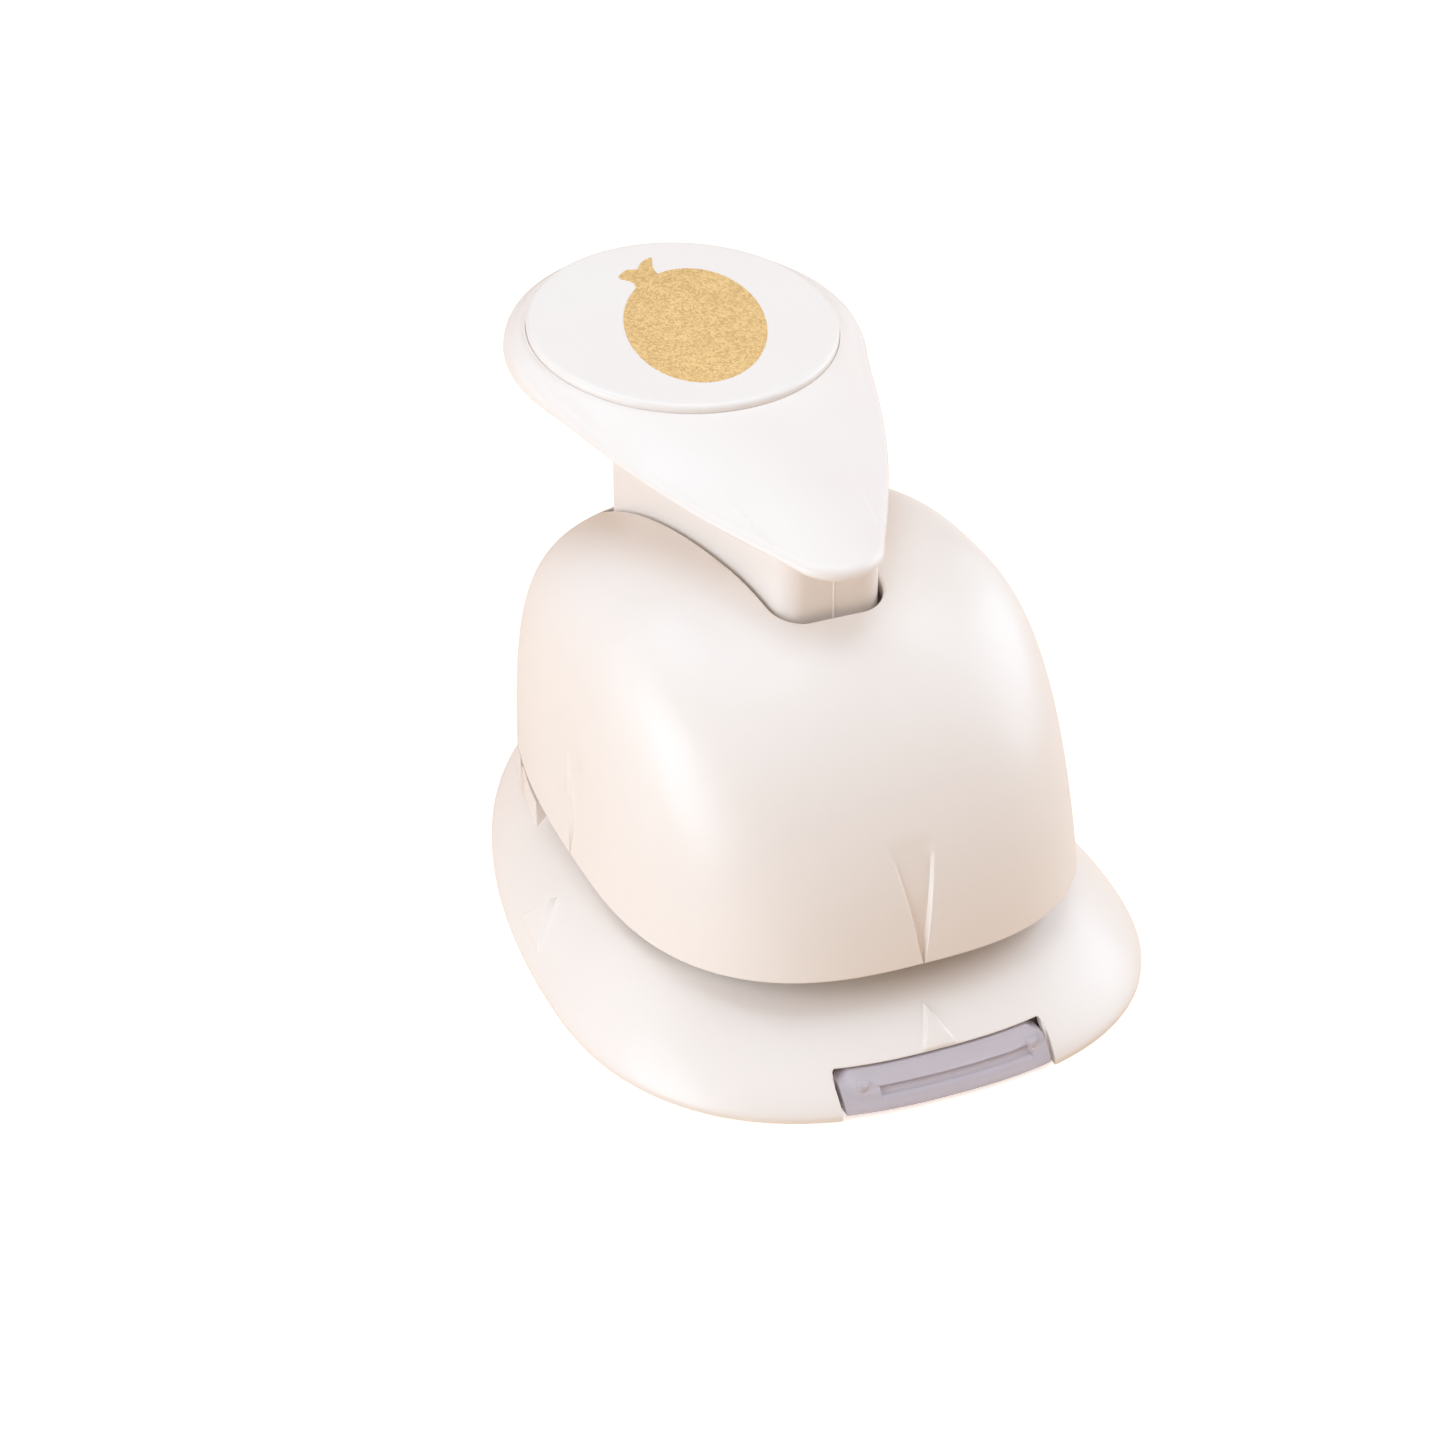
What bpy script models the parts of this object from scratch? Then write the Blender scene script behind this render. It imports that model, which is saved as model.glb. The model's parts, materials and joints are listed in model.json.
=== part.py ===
"""A lever craft punch: domed cover over a low base, teardrop lever, balloon shaped cutter and die.

Metres, +Z up, the front at -Y. Lengths along Y are measured from the widest line of the base
and the whole assembly is then moved so that its bounding box is centred over the origin.
"""

import math

import bmesh
import bpy
from mathutils import Matrix, Vector

# Clearances and shared fits
SEAT_GAP = 0.0003
RUNNING_GAP = 0.0003
SLOT_SIDE_GAP = 0.0005
OVERRUN = 0.003
RING_POINTS = 48
HOLE_POINTS = 20
PIN_POINTS = 20

# Base: a low skirt that slopes up to a flat table
BASE_HALF_WIDTH = 0.0360
BASE_FRONT = 0.0352
BASE_REAR = 0.0640
BASE_FRONT_POWER = 2.46
BASE_REAR_POWER = 2.05
BASE_FOOT_BAND = 0.0007
BASE_WALL = 0.0018
TABLE_HEIGHT = 0.0108
TABLE_THICKNESS = 0.0042
SLOPE_SIDE_REACH = 0.0085
SLOPE_FRONT_REACH = 0.0147
SLOPE_REAR_REACH = 0.0090
SLOPE_POWER = 1.3
SLOPE_LEVELS = 6
NOTCH_HALF_WIDTH = 0.0131
NOTCH_HEIGHT = 0.0044
NOTCH_REACH = 0.0075

# Rear wall of the paper slit, and the low step in front of it
THROAT_END = 0.0327
THROAT_STEP_START = 0.0244
THROAT_STEP_HEIGHT = 0.0005
THROAT_WALL = 0.0036
TONGUE_WALL = 0.0012
TONGUE_HEIGHT = 0.0030

# Cover: a thin dome with an open rim over the paper slit
COVER_HALF_WIDTH = 0.0291
COVER_FRONT = 0.0322
COVER_REAR = 0.0504
COVER_CENTRE = 0.0060
COVER_RIM_HEIGHT = 0.0128
COVER_RISE = 0.0340
COVER_SIDE_DRAFT = 0.064
COVER_CREST_LEAN = 0.145
COVER_SIDE_POWER = 5.3
COVER_FRONT_POWER = 2.1
COVER_REAR_POWER = 2.2
COVER_PLAN_POWER = 2.69
COVER_WALL = 0.0018
COVER_LEVELS = 12
COVER_CREST_SHARE = 0.998

# Slot in the crown, a wedge that the lever's web moves in
SLOT_FRONT = -0.0010
SLOT_REAR_GAP = 0.0012
SLOT_FRONT_HALF_WIDTH = 0.0067
SLOT_SPREAD = 0.139
SLOT_CORNER = 0.0040

# Marks that point at the middle of the die: sunk in the cover, raised on the base
MARK_DEPTH = 0.0005
MARK_ROOT = 0.0012
MARK_FADE = 0.8
MARK_LEVELS = 6
MARK_LEAST_SHARE = 0.04
COVER_MARK_TOP = 0.0268
COVER_MARK_HALF_WIDTH = 0.0029
BASE_MARK_HALF_WIDTH = 0.0026
BASE_MARK_APEX = 0.0077
BASE_MARK_FOOT = 0.0052

# Die set: two plates with the figure's opening, a spacer and the cutter
DIE_CENTRE = 0.0100
DIE_PLATE_THICKNESS = 0.0022
DIE_PLATE_HALF_WIDTH = 0.0190
DIE_PLATE_FRONT = -0.0120
DIE_PLATE_REAR = 0.0440
DIE_PLATE_CORNER = 0.0030
PAPER_SLIT = 0.0015
GUIDE_PLATE_THICKNESS = 0.0020
GUIDE_PLATE_MARGIN = 0.0022
CHIP_HOLE_MARGIN = 0.0009
CUTTER_LENGTH = 0.0092
DIE_ENTRY = 0.0007
CUTTER_REST_LIFT = 0.0002

# Figure: an oval balloon that leans a little, with a forked tail, given from the die's middle
FIGURE_HALF_LENGTH = 0.01305
FIGURE_HALF_WIDTH = 0.0087
FIGURE_LEAN = math.radians(18)
FIGURE_BACK = -0.0017
FIGURE_BODY_POINTS = 36
TAIL_RIGHT_FOOT = (0.0003, 0.0103)
TAIL_RIGHT = (0.0009, 0.0139)
TAIL_RIGHT_CORNER = (-0.0002, 0.0143)
TAIL_NOTCH = (-0.0021, 0.0124)
TAIL_LEFT_CORNER = (-0.0039, 0.0122)
TAIL_LEFT = (-0.0045, 0.0108)
TAIL_LEFT_FOOT = (-0.0029, 0.0085)

# Head on the cutter, its posts and return springs
HEAD_HALF_WIDTH = 0.0092
HEAD_FRONT_REACH = 0.0105
HEAD_REAR_REACH = 0.0120
HEAD_BODY_THICKNESS = 0.0034
HEAD_PAD_HEIGHT = 0.0022
HEAD_PAD_HALF_WIDTH = 0.0048
HEAD_PAD_HALF_LENGTH = 0.0068
HEAD_POWER = 2.6
ARM_HALF_WIDTH = 0.0034
ARM_LIFT = 0.0004
POST_OFFSET = 0.0150
POST_RADIUS = 0.0013
POST_END_MARGIN = 0.0029
SPRING_WIRE_RADIUS = 0.0004
SPRING_COIL_RADIUS = 0.0024
SPRING_TURNS = 5
SPRING_POINTS_PER_TURN = 10

# Lever: teardrop plate on a hollow web
PIVOT_Y = -0.0070
PIVOT_LIFT = 0.0020
PIVOT_PIN_RADIUS = 0.0015
PIVOT_BOSS_RADIUS = 0.0031
LEVER_END_CENTRE = 0.0441
LEVER_END_RADIUS = 0.0222
LEVER_TIP_CENTRE = 0.0008
LEVER_TIP_RADIUS = 0.0060
LEVER_SIDE_BULGE = 0.0014
LEVER_LIP_LIFT = 0.0052
LEVER_LIP_SLOPE = 0.13
LEVER_LIP_INSET = 0.0005
LEVER_SIDE_HEIGHT = 0.0007
LEVER_FOLD_LIFT = 0.0067
LEVER_FOLD_SLOPE = 0.09
LEVER_FOLD_BOW = 0.0029
LEVER_FOLD_INSET = 0.0007
LEVER_SHELL = 0.0012
LEVER_END_POINTS = 22
LEVER_TIP_POINTS = 10
LEVER_SIDE_POINTS = 6
WEB_FRONT = 0.0
WEB_REAR = 0.0396
WEB_WALL = 0.0016
WEB_CORNER = 0.0034
WEB_KNEE_DROP = 0.0063
WEB_HEAD_GAP = 0.0016
WEB_BOTTOM_START = 0.0030
WEB_BOTTOM_RISE_START = 0.0160
WEB_TOP_TURN = 0.0220
WEB_TOP_SHARES = (0.2, 0.75)
WEB_SLAB = 0.0009
WEB_REAR_RISE = 0.0050
WEB_BOSS_POINTS = 9

# Pad: the round cap on the lever's big end
PAD_CENTRE = 0.0450
PAD_LIFT = 0.0149
PAD_TILT = math.radians(6.6)
PAD_RADIUS = 0.0191
PAD_EDGE = 0.0007
PAD_EDGE_SHARES = (0.7, 0.4, 0.2)
PAD_STAND = 0.0009
PAD_SIDE_GAP = 0.0005
CROWN_SWELL_SHARE = 0.25
CROWN_RING_SHARES = (0.12, 0.3, 0.6)

# Presser: roller on a cross pin
PRESSER_PIN_RADIUS = 0.0012
ROLLER_RADIUS = 0.0026
ROLLER_HALF_LENGTH = 0.0046

# Frame that carries the pivot pin
FRAME_FRONT = -0.0125
FRAME_REAR = -0.0050
FRAME_HALF_WIDTH = 0.0160
FRAME_FOOT_THICKNESS = 0.0015
FRAME_EAR_INNER = 0.0065
FRAME_EAR_THICKNESS = 0.0017
FRAME_EAR_RADIUS = 0.0032
FRAME_EAR_FOOT_MARGIN = 0.0004
PIN_END_MARGIN = 0.0004

# Screws: radius of shank, radius and height of head
SCREW_SHANK_RADIUS = 0.0012
SCREW_HEAD_RADIUS = 0.0023
SCREW_HEAD_HEIGHT = 0.0013
SCREW_RECESS_DEPTH = 0.0006
SCREW_RECESS_RADIUS = 0.0011
FLAT_HEAD_HEIGHT = 0.0007
SCREW_HOLD = 0.0050
BOSS_WALL = 0.0015
PLATE_SCREW_X = 0.0140
PLATE_SCREW_ROWS = (0.0356, 0.0412)
BASE_BOSS_BOTTOM = 0.0050
FRAME_SCREW_X = 0.0128
FRAME_SCREW_Y = -0.0084
COVER_FRONT_SCREW = (0.0205, -0.0030)
COVER_REAR_SCREW = (0.0100, 0.0474)
COVER_REAR_COLUMN_BOTTOM = 0.0032
CUTTER_SCREW_DEPTH = 0.0056

# Tray for the punched pieces, hinged at its rear edge
TRAY_FLOOR_HEIGHT = 0.0006
TRAY_FLOOR = 0.0010
TRAY_WALL = 0.0012
TRAY_HEIGHT = 0.0040
TRAY_GAP = 0.0004
TRAY_REAR = 0.0386
TRAY_HINGE_Y = 0.0426
TRAY_HINGE_Z = 0.0025
TRAY_PIN_RADIUS = 0.0010
KNUCKLE_RADIUS = 0.0018
KNUCKLE_INNER = 0.0030
KNUCKLE_WIDTH = 0.0030
BRACKET_WIDTH = 0.0030
BRACKET_HALF_LENGTH = 0.0019
BRACKET_DROP = 0.0012
WINDOW_GAP = 0.0003
WINDOW_WALL = 0.0013
WINDOW_TAB_DEPTH = 0.0058

# Heights and places that follow from the sizes above
DIE_TOP = TABLE_HEIGHT
DIE_BOTTOM = DIE_TOP - DIE_PLATE_THICKNESS
RECESS_FLOOR = DIE_BOTTOM - SEAT_GAP
TABLE_UNDERSIDE = TABLE_HEIGHT - TABLE_THICKNESS
GUIDE_BOTTOM = DIE_TOP + PAPER_SLIT
GUIDE_TOP = GUIDE_BOTTOM + GUIDE_PLATE_THICKNESS
CUTTER_BOTTOM = GUIDE_BOTTOM + CUTTER_REST_LIFT
CUTTER_TOP = CUTTER_BOTTOM + CUTTER_LENGTH
HEAD_BOTTOM = CUTTER_TOP + SEAT_GAP
HEAD_BODY_TOP = HEAD_BOTTOM + HEAD_BODY_THICKNESS
HEAD_TOP = HEAD_BODY_TOP + HEAD_PAD_HEIGHT
ARM_BOTTOM = HEAD_BOTTOM + ARM_LIFT
POST_TOP = HEAD_TOP + POST_END_MARGIN
PRESSER_Z = HEAD_TOP + RUNNING_GAP + ROLLER_RADIUS
PIVOT_Z = PRESSER_Z + PIVOT_LIFT
WEB_BOTTOM = HEAD_BODY_TOP + WEB_HEAD_GAP
FRAME_BOTTOM = GUIDE_TOP + SEAT_GAP
FRAME_TOP = FRAME_BOTTOM + FRAME_FOOT_THICKNESS
COVER_TOP = COVER_RIM_HEIGHT + COVER_RISE
WEB_KNEE_HEIGHT = COVER_TOP - WEB_KNEE_DROP
LEVER_LIP_HEIGHT = COVER_TOP + LEVER_LIP_LIFT
LEVER_FOLD_HEIGHT = COVER_TOP + LEVER_FOLD_LIFT
PAD_HEIGHT = COVER_TOP + PAD_LIFT
CUTTER_STROKE = CUTTER_BOTTOM - DIE_TOP + DIE_ENTRY
LEVER_SWING = math.asin(CUTTER_STROKE / (DIE_CENTRE - PIVOT_Y))
SLOT_REAR = WEB_REAR + LEVER_SWING * (COVER_TOP - PIVOT_Z) + SLOT_REAR_GAP
LEVER_REAR = LEVER_END_CENTRE + LEVER_END_RADIUS
BOX_CENTRE = (LEVER_REAR - BASE_FRONT + WINDOW_GAP) / 2


def material(name, colour, roughness, metallic=0.0, alpha=1.0):
    made = bpy.data.materials.new(name)
    made.use_nodes = True
    shader = made.node_tree.nodes["Principled BSDF"]
    shader.inputs["Base Color"].default_value = (*colour, 1.0)
    shader.inputs["Roughness"].default_value = roughness
    shader.inputs["Metallic"].default_value = metallic
    shader.inputs["Alpha"].default_value = alpha
    return made


def clear_scene():
    for item in list(bpy.data.objects):
        bpy.data.objects.remove(item, do_unlink=True)


def empty(name, place, parent=None):
    made = bpy.data.objects.new(name, None)
    made.location = place
    made.parent = parent
    bpy.context.scene.collection.objects.link(made)
    return made


def mesh_object(name, shape, finish, frame):
    """Object whose origin is the frame's, from a shape given in the assembly's coordinates."""
    bmesh.ops.recalc_face_normals(shape, faces=shape.faces)
    if frame.parent:
        shape.transform(Matrix.Translation(-frame.location))
    data = bpy.data.meshes.new(name)
    shape.to_mesh(data)
    shape.free()
    data.shade_smooth()
    data.set_sharp_from_angle(angle=math.radians(32))
    if finish:
        data.materials.append(finish)
    made = bpy.data.objects.new(name, data)
    made.parent = frame
    bpy.context.scene.collection.objects.link(made)
    return made


def tool_object(name, shape, frame):
    """A helper shape for Booleans: hidden in renders."""
    made = mesh_object(name, shape, None, frame)
    made.hide_render = True
    made.display_type = "WIRE"
    return made


def combine(target, helper, operation):
    step = target.modifiers.new(operation.title() + " " + helper.name, "BOOLEAN")
    step.operation = operation
    step.object = helper
    step.solver = "EXACT"


def cut(target, name, shape, frame):
    combine(target, tool_object(name, shape, frame), "DIFFERENCE")


def add(target, name, shape, frame):
    combine(target, tool_object(name, shape, frame), "UNION")


def loft(rings):
    """Closed shape through rings of equal count, with a flat face on the first and the last."""
    shape = bmesh.new()
    rows = [[shape.verts.new(point) for point in ring] for ring in rings]
    for lower, upper in zip(rows, rows[1:]):
        count = len(lower)
        for i in range(count):
            j = (i + 1) % count
            shape.faces.new((lower[i], lower[j], upper[j], upper[i]))
    shape.faces.new(rows[0])
    shape.faces.new(rows[-1])
    return shape


def prism(outline, bottom, top):
    """Upright prism over an outline of (x, y) points."""
    return loft([[(x, y, z) for x, y in outline] for z in (bottom, top)])


def side_prism(profile, left, right):
    """Prism along X over a profile of (y, z) points."""
    return loft([[(x, y, z) for y, z in profile] for x in (left, right)])


def box(low, high):
    outline = [(low[0], low[1]), (high[0], low[1]), (high[0], high[1]), (low[0], high[1])]
    return prism(outline, low[2], high[2])


def circle(centre, radius, count=HOLE_POINTS):
    steps = [2 * math.pi * i / count for i in range(count)]
    return [(centre[0] + radius * math.cos(a), centre[1] + radius * math.sin(a)) for a in steps]


def rod(centre, radius, bottom, top, count=PIN_POINTS):
    return prism(circle(centre, radius, count), bottom, top)


def cross_rod(y, z, radius, left, right, count=PIN_POINTS):
    return side_prism(circle((y, z), radius, count), left, right)


def rounded_rectangle(half_width, front, rear, corner, corner_points=5):
    """Outline of (x, y) points, turned anticlockwise from the right front corner."""
    points = []
    corners = (
        (half_width - corner, front + corner, -90),
        (half_width - corner, rear - corner, 0),
        (-half_width + corner, rear - corner, 90),
        (-half_width + corner, front + corner, 180),
    )
    for x, y, start in corners:
        for i in range(corner_points):
            a = math.radians(start + 90 * i / (corner_points - 1))
            points.append((x + corner * math.cos(a), y + corner * math.sin(a)))
    return points


def superellipse(half_width, front, rear, centre, front_power, rear_power, count=RING_POINTS):
    """Outline of (x, y) points whose front and rear reaches and roundness differ."""
    points = []
    for i in range(count):
        a = 2 * math.pi * i / count
        power = front_power if math.sin(a) < 0 else rear_power
        reach = front if math.sin(a) < 0 else rear
        r = (abs(math.cos(a)) ** power + abs(math.sin(a)) ** power) ** (-1 / power)
        points.append((half_width * r * math.cos(a), centre + reach * r * math.sin(a)))
    return points


def raised(outline, z):
    return [(x, y, z) for x, y in outline]


def offset(outline, distance):
    """Outline moved out by a distance, for anticlockwise points; corners keep their mitre."""
    moved = []
    count = len(outline)
    for i in range(count):
        before = Vector(outline[i - 1])
        here = Vector(outline[i])
        after = Vector(outline[(i + 1) % count])
        first = (here - before).normalized()
        second = (after - here).normalized()
        normal = Vector((first.y + second.y, -first.x - second.x)).normalized()
        mitre = max(normal.dot(Vector((first.y, -first.x))), 0.45)
        moved.append(tuple(here + normal * distance / mitre))
    return moved


def figure_body(grow=0.0):
    """The balloon's leaning oval, round the die's middle."""
    points = []
    for i in range(FIGURE_BODY_POINTS):
        a = 2 * math.pi * (i + 0.5) / FIGURE_BODY_POINTS
        along = (FIGURE_HALF_LENGTH + grow) * math.sin(a)
        across = (FIGURE_HALF_WIDTH + grow) * math.cos(a)
        x = across * math.cos(FIGURE_LEAN) + along * math.sin(FIGURE_LEAN)
        y = along * math.cos(FIGURE_LEAN) - across * math.sin(FIGURE_LEAN)
        points.append((x, DIE_CENTRE + FIGURE_BACK + y))
    return points


def figure_tail(grow=0.0):
    """The forked tail, with its foot inside the oval."""
    corners = [
        TAIL_RIGHT_FOOT,
        TAIL_RIGHT,
        TAIL_RIGHT_CORNER,
        TAIL_NOTCH,
        TAIL_LEFT_CORNER,
        TAIL_LEFT,
        TAIL_LEFT_FOOT,
    ]
    return [(x, DIE_CENTRE + y) for x, y in offset(corners, grow)]


def cut_figure(target, name, grow, bottom, top, frame):
    cut(target, f"{name}_body", prism(figure_body(grow), bottom, top), frame)
    cut(target, f"{name}_tail", prism(figure_tail(grow), bottom, top), frame)


def base_sizes(height, inset=0.0):
    """Half width, front and rear reach of the skirt at a height."""
    share = (max(height, BASE_FOOT_BAND) - BASE_FOOT_BAND) / (TABLE_HEIGHT - BASE_FOOT_BAND)
    lean = share**SLOPE_POWER
    return (
        BASE_HALF_WIDTH - SLOPE_SIDE_REACH * lean - inset,
        BASE_FRONT - SLOPE_FRONT_REACH * lean - inset,
        BASE_REAR - SLOPE_REAR_REACH * lean - inset,
    )


def base_outline(height, inset=0.0):
    half_width, front, rear = base_sizes(height, inset)
    return superellipse(half_width, front, rear, 0.0, BASE_FRONT_POWER, BASE_REAR_POWER)


def base_levels(top):
    steps = range(1, SLOPE_LEVELS + 1)
    return [0.0, BASE_FOOT_BAND] + [
        BASE_FOOT_BAND + (top - BASE_FOOT_BAND) * i / SLOPE_LEVELS for i in steps
    ]


def base_loft(inset, top):
    return [raised(base_outline(z, inset), z) for z in base_levels(top)]


def cover_sizes(height, inset=0.0):
    """Half width, front reach, rear reach and middle of the cover at a height over its rim."""
    height = max(height, 0.0)
    share = height / (COVER_RISE - inset)
    half_width = COVER_HALF_WIDTH - COVER_SIDE_DRAFT * height - inset
    half_width *= (1 - share**COVER_SIDE_POWER) ** (1 / COVER_SIDE_POWER)
    front = (COVER_FRONT - inset) * (1 - share**COVER_FRONT_POWER) ** (1 / COVER_FRONT_POWER)
    rear = (COVER_REAR - inset) * (1 - share**COVER_REAR_POWER) ** (1 / COVER_REAR_POWER)
    return half_width, front, rear, COVER_CENTRE + COVER_CREST_LEAN * height


def cover_ring(share, inset=0.0):
    height = (COVER_RISE - inset) * share
    sizes = cover_sizes(height, inset)
    outline = superellipse(*sizes, COVER_PLAN_POWER, COVER_PLAN_POWER)
    return raised(outline, COVER_RIM_HEIGHT + height)


def cover_rings(inset=0.0):
    """Rings that crowd together towards the crown, where the dome turns flat."""
    steps = [math.sin(math.pi / 2 * i / COVER_LEVELS) for i in range(COVER_LEVELS)]
    return [cover_ring(step, inset) for step in steps + [COVER_CREST_SHARE]]


def rim_outline(inset=0.0):
    return [(x, y) for x, y, z in cover_ring(0.0, inset)]


def slot_half_width(y):
    return SLOT_FRONT_HALF_WIDTH + SLOT_SPREAD * (y - SLOT_FRONT)


def wedge_outline(front, rear, inset, corner):
    """The slot's wedge in plan, with rounded front corners."""
    narrow = slot_half_width(front + corner) - inset
    wide = slot_half_width(rear) - inset
    points = []
    for i in range(5):
        a = math.radians(-90 + 90 * i / 4)
        points.append((narrow - corner + corner * math.cos(a), front + corner + corner * math.sin(a)))
    points.append((wide, rear))
    return points + [(-x, y) for x, y in reversed(points)]


def wall_arc(inset, thickness, start, bottom, top):
    """Part of a wall under the cover's rim, behind a line across the base."""
    outer = rim_outline(inset)
    inner = rim_outline(inset + thickness)
    count = len(outer)
    chosen = [i for i in range(count // 2 + 1) if outer[i][1] > start and inner[i][1] > start]
    first, last = chosen[0], chosen[-1]

    def on_line(ring, i, j):
        share = (start - ring[i][1]) / (ring[j][1] - ring[i][1])
        return (ring[i][0] + share * (ring[j][0] - ring[i][0]), start)

    far = [on_line(outer, first - 1, first)] + [outer[i] for i in chosen]
    far.append(on_line(outer, last + 1, last))
    near = [on_line(inner, first - 1, first)] + [inner[i] for i in chosen]
    near.append(on_line(inner, last + 1, last))
    return prism(far + list(reversed(near)), bottom, top)


def skin_distance(half_width, front, rear, centre, powers, degrees):
    """How far the skin lies from the die's upright axis, at the front or at a side."""
    if degrees == 0:
        return DIE_CENTRE - centre + front
    back = DIE_CENTRE - centre
    power = powers[1] if back > 0 else powers[0]
    return half_width * (1 - (abs(back) / rear) ** power) ** (1 / power)


def base_distance(height, degrees):
    powers = (BASE_FRONT_POWER, BASE_REAR_POWER)
    return skin_distance(*base_sizes(height), 0.0, powers, degrees)


def cover_distance(height, degrees):
    powers = (COVER_PLAN_POWER, COVER_PLAN_POWER)
    return skin_distance(*cover_sizes(height - COVER_RIM_HEIGHT), powers, degrees)


def mark_shape(distance, degrees, half_width, tip, end, under, over):
    """Triangle along the skin that fades from its tip to its wide end."""
    rings = []
    for i in range(MARK_LEVELS + 1):
        share = MARK_LEAST_SHARE + (1 - MARK_LEAST_SHARE) * i / MARK_LEVELS
        z = tip + (end - tip) * i / MARK_LEVELS
        w = half_width * share
        skin = -distance(z, degrees)
        near = skin + under * (1 - MARK_FADE * share)
        far = skin - over * (1 - MARK_FADE * share)
        rings.append([(-w, far, z), (w, far, z), (w, near, z), (-w, near, z)])
    shape = loft(rings)
    place = Matrix.Translation((0.0, DIE_CENTRE, 0.0))
    shape.transform(place @ Matrix.Rotation(math.radians(degrees), 4, "Z"))
    return shape


def mark_sides():
    """Marks at the front and both sides point at the die's middle."""
    return (("front", 0), ("left", -90), ("right", 90))


def make_base(finish, frame):
    inner = base_loft(BASE_WALL, TABLE_UNDERSIDE)
    outer = base_loft(0.0, TABLE_HEIGHT)
    made = mesh_object("base", loft(list(reversed(inner)) + outer), finish, frame)
    under_rim = COVER_RIM_HEIGHT - SEAT_GAP
    root = TABLE_UNDERSIDE + BASE_WALL / 2
    step_top = TABLE_HEIGHT + THROAT_STEP_HEIGHT
    step_wall = THROAT_WALL - 2 * SEAT_GAP
    step = wall_arc(SEAT_GAP, step_wall, THROAT_STEP_START, root + SEAT_GAP, step_top)
    add(made, "base_step", step, frame)
    wall = wall_arc(0.0, THROAT_WALL, THROAT_END, root, under_rim)
    add(made, "base_wall", wall, frame)
    tongue_inset = COVER_WALL + SEAT_GAP
    tongue_top = COVER_RIM_HEIGHT + TONGUE_HEIGHT
    tongue_start = THROAT_END + 2 * SEAT_GAP
    tongue = wall_arc(tongue_inset, TONGUE_WALL, tongue_start, TABLE_HEIGHT, tongue_top)
    add(made, "base_tongue", tongue, frame)
    boss = SCREW_SHANK_RADIUS + RUNNING_GAP + BOSS_WALL
    for side in (-1, 1):
        for row, y in enumerate(PLATE_SCREW_ROWS):
            place = (side * PLATE_SCREW_X, y)
            post = rod(place, boss, BASE_BOSS_BOTTOM, root)
            add(made, f"base_boss_{side}_{row}", post, frame)
        place = (side * COVER_REAR_SCREW[0], COVER_REAR_SCREW[1])
        column = rod(place, boss, COVER_REAR_COLUMN_BOTTOM, root)
        add(made, f"base_column_{side}", column, frame)
        near = KNUCKLE_INNER + KNUCKLE_WIDTH + RUNNING_GAP
        edges = sorted((side * near, side * (near + BRACKET_WIDTH)))
        low = (edges[0], TRAY_HINGE_Y - BRACKET_HALF_LENGTH, TRAY_HINGE_Z - BRACKET_DROP)
        high = (edges[1], TRAY_HINGE_Y + BRACKET_HALF_LENGTH, root)
        add(made, f"base_bracket_{side}", box(low, high), frame)
    recess = rounded_rectangle(
        DIE_PLATE_HALF_WIDTH + SEAT_GAP,
        DIE_PLATE_FRONT - SEAT_GAP,
        DIE_PLATE_REAR + SEAT_GAP,
        DIE_PLATE_CORNER + SEAT_GAP,
    )
    cut(made, "base_recess", prism(recess, RECESS_FLOOR, TABLE_HEIGHT + OVERRUN), frame)
    low = TABLE_UNDERSIDE - OVERRUN
    cut_figure(made, "base_chip_hole", CHIP_HOLE_MARGIN, low, TABLE_HEIGHT, frame)
    hole = SCREW_SHANK_RADIUS + RUNNING_GAP
    for side in (-1, 1):
        for row, y in enumerate(PLATE_SCREW_ROWS):
            bore = rod((side * PLATE_SCREW_X, y), hole, -OVERRUN, TABLE_HEIGHT)
            cut(made, f"base_bore_{side}_{row}", bore, frame)
        place = (side * COVER_REAR_SCREW[0], COVER_REAR_SCREW[1])
        bore = rod(place, hole, -OVERRUN, TABLE_HEIGHT + OVERRUN)
        cut(made, f"base_column_bore_{side}", bore, frame)
    hinge = TRAY_PIN_RADIUS + RUNNING_GAP
    far = KNUCKLE_INNER + KNUCKLE_WIDTH + BRACKET_WIDTH + OVERRUN
    bore = cross_rod(TRAY_HINGE_Y, TRAY_HINGE_Z, hinge, -far, far)
    cut(made, "base_hinge_bore", bore, frame)
    front = -BASE_FRONT - OVERRUN
    low = (-NOTCH_HALF_WIDTH, front, -OVERRUN)
    high = (NOTCH_HALF_WIDTH, -BASE_FRONT + NOTCH_REACH, NOTCH_HEIGHT)
    cut(made, "base_notch", box(low, high), frame)
    sizes = (BASE_MARK_HALF_WIDTH, BASE_MARK_APEX, BASE_MARK_FOOT)
    for side, degrees in mark_sides():
        mark = mark_shape(base_distance, degrees, *sizes, MARK_ROOT, MARK_DEPTH)
        add(made, f"base_mark_{side}", mark, frame)


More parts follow.
